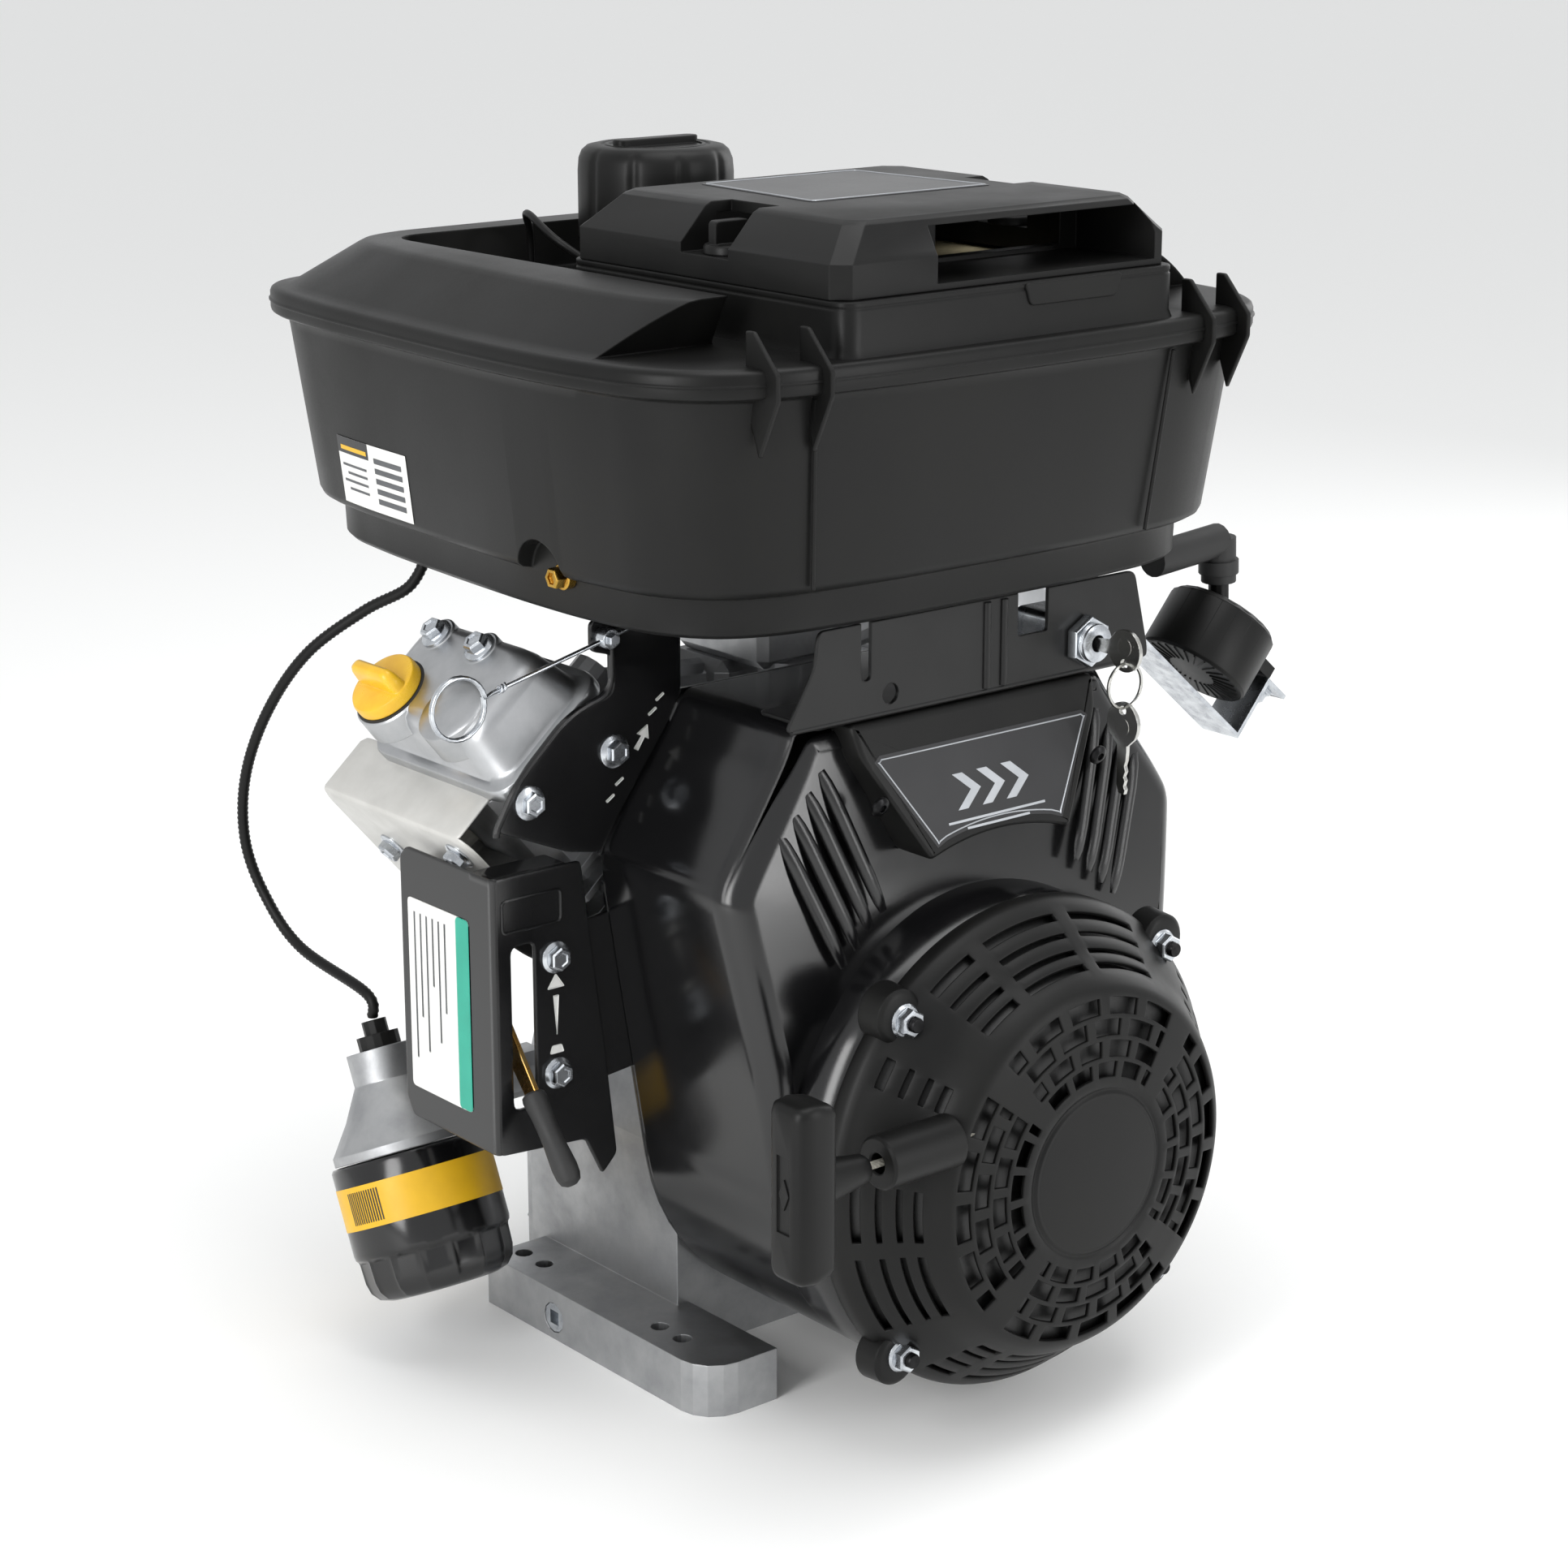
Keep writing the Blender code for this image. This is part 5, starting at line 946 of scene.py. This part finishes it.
for x, z in ((-121, 385), (-126, 378), (-148, 344), (-154, 336)):
    mark = [(x - 3.6, z - 1), (x + 1.4, z + 2.2), (x + 2.2, z + 1), (x - 2.8, z - 2.2)]
    marks.append(sheet(mark, -45.5, -45.2, "y", 0.3))
arrow = [(-139, 360), (-134, 366), (-137, 367.6), (-130, 371.6), (-129.4, 363.6), (-132, 365)]
arrow.append((-136.4, 358.4))
marks.append(sheet(arrow, -45.5, -45.2, "y", 0.3))
piece("choke_bracket_marks", merged(*marks), white_ink, "engine", "white_ceramic")
end, ring = Vector((-166, -50, 421)), Vector((-251, -50, 401))
way = (ring - end).normalized()
post = end - way * 8
clamp = merged(
    lathe([(0, -3.4), (5, -3.4), (5.4, -2.6), (5.4, 5.6), (0, 5.6)], post, (0, 1, 0), 24),
    lathe([(0, 0), (3.6, 0), (3.6, 3), (3, 3.6), (0, 3.6)], post - Vector((0, 3.2, 0)), (0, -1, 0), 6),
)
piece("choke_wire_clamp", clamp, bright_zinc, "engine", "zinc_steel")
wire = [end - way * 34, end, end + way * 34, ring - way * 21]
wire = [tuple(point) for point in smooth_route(wire, 10)]
RING_RADIUS = 16
rise = Vector((way.z, 0, -way.x))
for i in range(53):
    angle = math.radians(i * 720 / 52)
    spot = ring + (rise * math.sin(angle) - way * math.cos(angle)) * RING_RADIUS
    wire.append(tuple(spot + Vector((0, -1.3 + 2.6 * i / 52, 0))))
sweep("choke_pull_wire", wire, 1.15, bright_zinc, "choke", "zinc_steel", "choke_pull")
knot = [end + way * (58 + i * 0.5) for i in range(10)]
knot = [k + Vector((0, 1.9 * math.cos(i * 1.6), 1.9 * math.sin(i * 1.6))) for i, k in enumerate(knot)]
sweep("choke_pull_knot", knot, 0.9, bright_zinc, "choke", "zinc_steel")


# ---------------------------------------------------------------- ignition switch and keys
# A switch in a satin black bracket under the tank, held by a zinc nut. The nickel-plated
# key is in it, and a spare key hangs from it on a split ring.

SWITCH_X, SWITCH_Z = 78, 405  # the switch's axis, along Y
outline = [(-127, 388.2), (127, 388.2), (127, 394), (116, 437.4), (-106, 437.4), (-108, 420)]
plate = sheet(outline, -155, -152.5, "y", 5)
# Powder coat is less glossy than the enamel, with a very fine orange peel.
satin_enamel = surface(
    "satin_black_powder_coat", "#151515", "#1a1a1a", (0.26, 0.38), 0.0, 50, 0.6, 0.02, 1.0, 0.3
)
plate = piece("switch_bracket_sheet", plate, satin_enamel, "engine", "black_enamel", "switch_bracket")
slot = sheet(oblong(-78, -71, 407, 450), -170, -140, "y", 3.4)
notch = sheet(oblong(30, 52, 414, 450), -170, -140, "y", 2)
bolt_hole = bar((-58, -170, 398), (-58, -140, 398), 5.5, 24)
switch_hole = bar((SWITCH_X, -170, SWITCH_Z), (SWITCH_X, -140, SWITCH_Z), 11, 32)
combine(plate, "DIFFERENCE", slot, notch, bolt_hole, switch_hole)
lip = sheet(oblong(-108, 108, -154.5, -110), 386.4, 388.6, "z", 4)
beads = [bar((-123, -154, 388.4), (123, -154, 388.4), 1.5, 16)]
for x in (8, 20):
    beads.append(bar((x, -155, 390), (x, -155, 436), 2.2, 20))
piece("switch_bracket_folds", merged(lip, *beads), satin_enamel, "engine", "black_enamel")
barrel = [(4.6, 164), (4.6, 166.4), (8, 166.8), (10.2, 166), (10.5, 165), (9.9, 164.2)]
barrel += [(10.5, 163.4), (9.9, 162.6), (10.5, 161.8), (10.5, 149), (4.6, 149)]
barrel = lathe(barrel, (SWITCH_X, 0, SWITCH_Z), (0, -1, 0), 40)
nut = [(9.6, 155.3), (13.4, 155.3), (14.2, 156.2), (14.2, 161.2), (13.4, 162.2), (9.6, 162.2)]
nut = lathe(nut, (SWITCH_X, 0, SWITCH_Z), (0, -1, 0), 6)
block = oblong(SWITCH_X - 15, SWITCH_X + 15, SWITCH_Z - 14, SWITCH_Z + 14)
block = sheet(block, -148, -118.5, "y", 4)
barrel = merged(barrel, nut, block)
name = "ignition_switch"
piece(f"{name}_barrel", barrel, bright_zinc, "engine", "zinc_steel", name)
# Nickel plate is a warm, bright metal, worn a little dull by use.
nickel = surface("nickel_plated_brass", "#c9c9c6", "#b4b3ae", (0.14, 0.28), 1.0, 7, 0.5, 0.01, 0.3)


def key_blank(name, head, toward, body, node):
    """A cut key with a pierced round head that has a raised disc on each face.

    The blade points along +Y where toward is 1, and straight down where it is 0.
    """
    head = Vector(head)
    bow = []
    for degrees in range(180, 24, -12):
        angle = math.radians(degrees)
        bow.append((11.5 * math.sin(angle), 11.5 * math.cos(angle)))
    blade = [(3.8, 12), (3.8, 15), (3.4, 17), (3.4, 34), (1.6, 38.6), (-2.6, 38.6), (-3.4, 36)]
    blade += [(-2.2, 34), (-3.2, 31), (-2, 29), (-3.4, 26), (-2.4, 23), (-3.4, 20), (-3.8, 15)]
    blade.append((-3.8, 12))
    outline = bow + blade + [(-a, b) for a, b in reversed(bow[1:])]
    rings = []
    for d, x in ((0.25, -1.2), (0, -0.9), (0, 0.9), (0.25, 1.2)):
        ring = [(x, b, a) if toward else (x, a, -b) for a, b in inset(outline, d)]
        rings.append([head + Vector(spot) for spot in ring])
    thing = piece(name, loft(rings), nickel, body, "zinc_steel", node)
    side = -1 if toward else 1
    hole, half = head + Vector((0, 0, 7 * side)), Vector((4, 0, 0))
    combine(thing, "DIFFERENCE", bar(hole - half, hole + half, 2.6, 24))
    disc = [(0, -1.35), (5, -1.35), (5, 1.35), (0, 1.35)]
    disc = lathe(disc, head - Vector((0, 0, 2 * side)), (1, 0, 0), 24)
    piece(f"{name}_pressing", disc, nickel, body, "zinc_steel")


key_blank("ignition_key_blank", (SWITCH_X, -187, SWITCH_Z), 1, "key", "ignition_key")
centre = Vector((SWITCH_X, -187, SWITCH_Z - 19))
loop = []
for i in range(73):
    angle = math.radians(i * 720 / 72)
    loop.append(centre + Vector((12 * math.sin(angle), -0.7 + 1.4 * i / 72, 12 * math.cos(angle))))
sweep("key_ring_wire", loop, 0.75, nickel, "key_ring", "zinc_steel", "key_ring")
key_blank("spare_key_blank", (SWITCH_X, -187, SWITCH_Z - 39.2), 0, "key_ring", "spare_key")


# ---------------------------------------------------------------- fuel tank
# A blow-moulded tank in satin black plastic that wraps the top of the engine. It has a rim
# with a parting line, a hump round the sunken deck, stiffening ribs and a hex brass fitting.


def tank_ring(plan, drawn_in, z):
    """The tank's plan at height z, with every side drawn in by a distance."""
    across, along = 1 - drawn_in / 216, 1 - drawn_in / 221.5
    return [(x * across, 28.5 + (y - 28.5) * along, z) for x, y in plan]


# Blow-moulded plastic is a little uneven, so that its soft sheen wanders.
tank_plastic = surface(
    "satin_blow_moulded_polyethylene", "#101010", "#151514", (0.32, 0.48), 0.0, 90, 1.1, 0.03, 1.4, 0.2
)
half = [(0, -193), (80, -192), (150, -186), (186, -172), (208, -140), (216, -80)]
half += [(216, -20), (212, 50), (205, 140), (196, 200), (180, 232), (150, 246), (0, 250)]
plan = half + [(-x, y) for x, y in reversed(half[1:-1])]
plan = resample(rounded(plan, 24, 5), 5)
rings = []
for drawn_in, z in (
    (37, 438.3),
    (33.5, 438.7),
    (31.6, 440.8),
    (31, 457),
    (29.6, 459.6),
    (24, 460.8),
    (21, 462.8),
    (19.6, 466),
    (8.6, 556),
    (7.8, 560.2),
    (6, 562),
    (1.8, 562.6),
    (0.4, 563.6),
    (0, 565),
    (0, 568.8),
    (-0.7, 569.2),
    (-0.7, 570),
    (0, 570.4),
    (0, 573.6),
    (0.7, 575.6),
    (2.2, 576.8),
    (5.5, 577.2),
    (9, 577.6),
    (12, 579.6),
    (41, 600.4),
    (44, 602.2),
    (48, 603),
):
    rings.append(tank_ring(plan, drawn_in, z))
tank = piece("fuel_tank_moulding", loft(rings), tank_plastic, "engine", "black_plastic", "fuel_tank")
deck = resample(rounded(oblong(-133, 133, -300, 178), 22, 8), 12)
levels = ((3, 577), (0.8, 577.8), (0, 580), (-3, 620))
deck = loft([[(x, y, z) for x, y in inset(deck, d)] for d, z in levels])
ends = ((-300, 577.4), (-104, 577.4), (-125, 612), (-300, 612))
ends = loft([[(x, y, z) for y, z in ends] for x in (-260, 260)])
recess = [(-64, 420), (-24, 420), (-24, 462), (-30, 474), (-44, 480), (-58, 474), (-64, 462)]
recess = sheet(recess, -240, -186, "x", 9)
combine(tank, "DIFFERENCE", deck, ends, recess)
FILLER = (10, 125, 0)  # the filler's axis, on the plan
well = [(29, 576), (33, 576), (33, 629.4), (32.4, 630), (29.6, 630), (29, 629.4)]
collar = [(32, 576), (47, 576), (46, 579.6), (42, 581.4), (36, 586), (32, 587)]
well = merged(lathe(well, FILLER, (0, 0, 1)), lathe(collar, FILLER, (0, 0, 1), 64))
piece("filler_neck", well, tank_plastic, "engine", "black_plastic")
outer = rounded(oblong(-113, 113, -182, 40), 11, 8)
rings = []
levels = [(-3, 574), (-1.4, 577.6), (0, 581), (0, 599.6), (0.4, 600), (0.4, 601), (0, 601.4)]
for d, z in [*levels, (0, 603.4), (0.6, 604)]:
    rings.append([(x, y, z) for x, y in inset(outer, d)])
housing = piece("air_cleaner_base", loft(rings), tank_plastic, "engine", "black_plastic")
combine(housing, "DIFFERENCE", sheet(oblong(-101, 101, -170, 28), 583, 640, "z", 8))
tab = sheet([(8, 592), (68, 592), (72, 603.6), (4, 603.6)], -183.4, -181, "y", 3)
piece("air_cleaner_tab", tab, tank_plastic, "engine", "black_plastic")
ribs = []
for x in (-160, -130, 130, 160):
    front_y = -186 if abs(x) > 140 else -190
    rib = [(front_y - 4, 563), (front_y - 4, 575), (front_y + 14, 594), (front_y + 20, 594)]
    rib += [(front_y + 20, 560), (front_y + 10, 534)]
    ribs.append(sheet(rib, x - 1.3, x + 1.3, "x", 1.2))
for x, low_y, high_x, high_y in ((-122.6, -170.2, -130.4, -181.4), (104.6, -172.2, 111, -183)):
    ribs.append(bar((x, low_y, 464), (high_x, high_y, 560), 1.1, 12))
piece("fuel_tank_ribs", merged(*ribs), tank_plastic, "engine", "black_plastic")
# Machined brass is bright and even, and shows fine tool marks.
brass = surface("machined_brass", "#c9a14c", "#b08a3c", (0.18, 0.32), 1.0, 6, 0.3, 0.008, 0.4)
place = (-189, -54, 460)
fitting = [(0, 0), (5.6, 0), (5.6, 6), (5, 7), (3.4, 7), (3.2, 5.4), (0, 5.4)]
collar = [(0, -4), (6.8, -4), (6.8, 0.4), (6.2, 0.8), (0, 0.8)]
fitting = merged(lathe(fitting, place, (-1, 0, 0), 6), lathe(collar, place, (-1, 0, 0), 32))
piece("fuel_fitting", fitting, brass, "engine", "yellow_zinc")


def drape(outline, lift):
    """A thin patch on the tank's left wall, over a grid of places in its (y, z) box."""
    (y0, z0), (y1, z1) = outline
    mesh, rows = bmesh.new(), []
    for j in range(5):
        row = []
        for i in range(9):
            y, z = y0 + (y1 - y0) * i / 8, z0 + (z1 - z0) * j / 4
            start = Vector((-0.3, y * MM, z * MM))
            place = tank.ray_cast(start, Vector((1, 0, 0)))[1]
            row.append(mesh.verts.new((place.x / MM - lift, y, z)))
        rows.append(row)
    for low, high in zip(rows, rows[1:]):
        for i in range(8):
            mesh.faces.new((low[i], low[i + 1], high[i + 1], high[i]))
    return mesh


# The yellow of labels and of the filter's band is flat, with only a slight sheen.
yellow_ink = surface("yellow_label_film", "#e2b21c", "#d8a818", (0.35, 0.45), 0.0, 30, 0.8, 0.003, 0.2)
piece("tank_label", drape(((76, 466), (154, 503)), 0.25), white_ink, "engine", "white_ceramic")
piece("tank_label_band", drape(((118, 494), (154, 503)), 0.4), label_black, "engine", "black_plastic")
piece("tank_label_stripe", drape(((120, 496), (150, 498.4)), 0.5), yellow_ink, "engine", "yellow_plastic")
lines = [drape(((122, 487 - i * 4.4), (150 - 5 * (i % 2), 488.4 - i * 4.4)), 0.45) for i in range(4)]
lines += [drape(((82, 471 + i * 5.6), (112, 474 + i * 5.6)), 0.45) for i in range(5)]
piece("tank_label_lines", merged(*lines), grey_ink, "engine", "black_plastic")


# ---------------------------------------------------------------- fuel cap
# A moulded screw cap with shallow flutes to grip it by and a raised bar on top. A soft
# plastic strap ties it to the deck.


def fluted(profile, steps, depth):
    """A solid turned from (radius, height, flute) rows, with flutes that follow depth(angle)."""
    rings = []
    for radius, height, flute in profile:
        ring = []
        for i in range(steps):
            angle = 2 * math.pi * i / steps
            wide = radius - flute * depth(angle)
            ring.append((wide * math.cos(angle), wide * math.sin(angle), height))
        rings.append(ring)
    return loft(rings)


profile = (
    (42.2, 597, 0),
    (43.4, 597.6, 0.2),
    (44, 599, 1.2),
    (44, 634, 1.5),
    (43.4, 641, 1.2),
    (41.6, 645.4, 0.5),
    (38.6, 648, 0),
    (34, 649, 0),
    (31, 649, 0),
    (30.4, 648.2, 0),
)
cap = fluted(profile, 180, lambda angle: max(0, math.cos(10 * angle)) ** 6)
cap.transform(Matrix.Translation(FILLER))
emboss = [sheet(oblong(-18, 38, 120, 130), 647.6, 652.4, "z", 4.6)]
emboss.append(lathe([(26, 647.6), (28.4, 647.6), (28.2, 649), (26.2, 649)], FILLER, (0, 0, 1), 64))
piece("fuel_cap_moulding", merged(cap, *emboss), black_plastic, "fuel_cap", "black_plastic", "fuel_cap")
route = [(-46, 98, 579), (-47, 99, 584), (-64, 120, 602), (-61, 150, 613), (-48, 166, 600)]
route = smooth_route([*route, (-46, 168, 579)], 40)
sweep("cap_tether_strap", route, 2.1, black_plastic, "engine", "black_plastic", "cap_tether")


# ---------------------------------------------------------------- air cleaner
# A pleated paper element under a moulded cover with an air scoop at the front. Two quarter-
# turn knobs hold the cover down, and a dark plate with a silver line lies on top of it.


def softened(node, name, material, body, slot, width, segments=3):
    """A copy of a CAD node with its edges rounded by a width in mm, standing for that node."""
    mesh = bmesh.new()
    mesh.from_mesh(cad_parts[node].data)
    bmesh.ops.remove_doubles(mesh, verts=mesh.verts, dist=2e-6)
    bmesh.ops.dissolve_limit(mesh, angle_limit=0.03, verts=mesh.verts, edges=mesh.edges)
    bmesh.ops.scale(mesh, vec=(1000, 1000, 1000), verts=mesh.verts)
    thing = piece(name, mesh, material, body, slot, node)
    edges = thing.modifiers.new("edges", "BEVEL")
    edges.width = width * MM
    edges.segments = segments
    edges.limit_method = "ANGLE"
    edges.angle_limit = math.radians(28)
    edges.harden_normals = True


name = "air_cleaner_cover"
softened(name, f"{name}_moulding", black_plastic, "air_cover", "black_plastic", 2.2)
plate = [(-58, -92), (66, -92), (58, 10), (-50, 10)]
piece("air_cleaner_plate", sheet(plate, 639.8, 640.35, "z", 5), label_black, "air_cover", "black_plastic")
line = inset(resample(rounded(plate, 5, 4), 4), 2.5)
line = closed_wire([(x, y, 640.4) for x, y in line], 0.4)
piece("air_cleaner_plate_line", line, silver_ink, "air_cover", "zinc_steel")
for side, sign in zip(SIDES, (-1, 1)):
    knob = [(0, 616.3), (13, 616.3), (13, 619.6), (12.2, 620.8), (9, 621.4), (0, 621.4)]
    knob = lathe(knob, (sign * 97, -74, 0), (0, 0, 1), 40)
    grip = sheet(oblong(sign * 97 - 11, sign * 97 + 11, 619, 633), -77, -71, "y", 3)
    name = f"air_knob_{side}"
    piece(f"{name}_moulding", merged(knob, grip), black_plastic, name, "black_plastic", name)
# Filter paper is matt, fibrous and cream.
paper = surface("pleated_filter_paper", "#cfc3a0", "#bdb08a", (0.7, 0.9), 0.0, 5, 0.8, 0.2, 0.3)
dress(paper, "air_filter")


# ---------------------------------------------------------------- intake
# The cast manifold in the V and the carburettor over it, in bare aluminium under the tank.

dress(cast_aluminium, "intake_manifold", "carburetor")


# ---------------------------------------------------------------- oil filter
# A spin-on can in gloss black enamel with a yellow band and a fluted end for the wrench. It
# hangs from a cast adapter that carries the oil pressure sender.

top, up = Vector((-200, 87, 111)), Vector((0, 0.423, 0.906)).normalized()
turn = Vector((0, 0, 1)).rotation_difference(-up).to_matrix()
profile = (
    (40, 0.4, 0),
    (43.4, 0.8, 0),
    (44.5, 2.6, 0),
    (44.5, 50, 0),
    (44, 52.4, 0),
    (43, 53.6, 0.4),
    (42.6, 55, 1.6),
    (42.2, 66, 2),
    (40.6, 72, 1.6),
    (36.6, 76.6, 0.8),
    (31, 78.4, 0),
    (20, 79, 0),
    (6, 79, 0),
)
can = fluted(profile, 210, lambda angle: abs(math.cos(7.5 * angle)) ** 0.5 * 0.9)
can.transform(Matrix.Translation(top) @ turn.to_4x4())
piece("oil_filter_can", can, gloss_enamel, "engine", "black_enamel", "oil_filter")
band = lathe([(44.3, 12), (44.75, 12), (44.75, 36), (44.3, 36)], top, -up, 96)
piece("oil_filter_band", band, yellow_ink, "engine", "yellow_plastic")
strokes = []
for i in range(14):
    for start in (150, 330):
        angle = math.radians(start + i * 2.2)
        mark, corners = bmesh.new(), []
        for s, drop in ((0, 15), (0.018, 15), (0.018, 33), (0, 33)):
            spot = (44.95 * math.cos(angle + s), 44.95 * math.sin(angle + s), drop)
            corners.append(mark.verts.new(top + turn @ Vector(spot)))
        mark.faces.new(corners)
        strokes.append(mark)
piece("oil_filter_marks", merged(*strokes), label_black, "engine", "black_plastic")
softened("filter_adapter", "filter_adapter_casting", cast_aluminium, "engine", "cast_aluminium", 2.5)
dress(black_plastic, "pressure_sender")
dress(bright_zinc, "drain_plug")


# ---------------------------------------------------------------- wiring conduit
# Corrugated black nylon tube with the sender's wire inside. It leaves the back of the
# engine under the tank, hangs in one bend and ends on the sender: 6.6 mm across.

peak = top + up * 0.3 + up * 58
route = [(-160, 113, 436), (-166, 122, 420), (-180, 145, 405), (-200, 173, 379), (-210, 201, 342)]
route += [(-215, 220, 301), (-215, 224, 262), (-210, 213, 230), (-205, 185, 205)]
route += [peak + up * 31.6, peak + up * 17.6]
points = smooth_route(route, 261)
ridges = [1.0 if i % 2 else 0.86 for i in range(261)]
conduit = sweep(
    "wiring_conduit_tube",
    points,
    3.3,
    black_plastic,
    "engine",
    "black_plastic",
    "wiring_conduit",
    radii=ridges,
)


# ---------------------------------------------------------------- vapour canister
# A moulded carbon canister with vents on its face, a rubber hose with a spring clamp, and a
# bright zinc strap that holds it in front of the right cylinder.

out, face = Vector((0.6561, 0, 0.7547)), Vector((215, -105, 356))
body = [(0, 3), (12, 3), (12.6, 0.4), (30, 0.4), (31.6, 0), (33, 1.4), (33, 35), (31, 38)]
vents = [lathe([*body, (28, 39), (0, 39)], face, out, 72)]
turn = Vector((0, 0, 1)).rotation_difference(out).to_matrix().to_4x4()
for i in range(28):
    vane = sheet(oblong(14, 29.6, -0.7, 0.7), -0.6, 0.9, "z", 0.4)
    vane.transform(Matrix.Translation(face) @ turn @ Matrix.Rotation(2 * math.pi * i / 28, 4, "Z"))
    vents.append(vane)
piece("vapour_canister_moulding", merged(*vents), black_plastic, "engine", "black_plastic")
softened("vapour_canister", "vapour_canister_body", black_plastic, "engine", "black_plastic", 1.2)
softened("canister_bracket", "canister_bracket_strap", bright_zinc, "engine", "zinc_steel", 0.8)
softened("canister_hose", "canister_hose_tube", black_rubber, "engine", "rubber", 1.2)


# ---------------------------------------------------------------- starter motor
# The electric starter low on the right: a turned steel case in gloss black enamel.

MOTOR_X, MOTOR_Z = 142, 106  # the motor's axis, along Y
cap = [(0, 67.6), (9, 67.6), (9, 70.6), (8, 71.6), (0, 71.6)]
ends = [lathe(cap, (MOTOR_X, 0, MOTOR_Z), (0, 1, 0))]
for angle in (0.5, 0.5 + math.pi):
    place = (MOTOR_X + 22 * math.cos(angle), 68, MOTOR_Z + 22 * math.sin(angle))
    ends.append(flange_bolt(place, (0, 1, 0), 4.2, 5, 4.2))
piece("starter_motor_ends", merged(*ends), bright_zinc, "engine", "zinc_steel")
dress(gloss_enamel, "starter_motor")
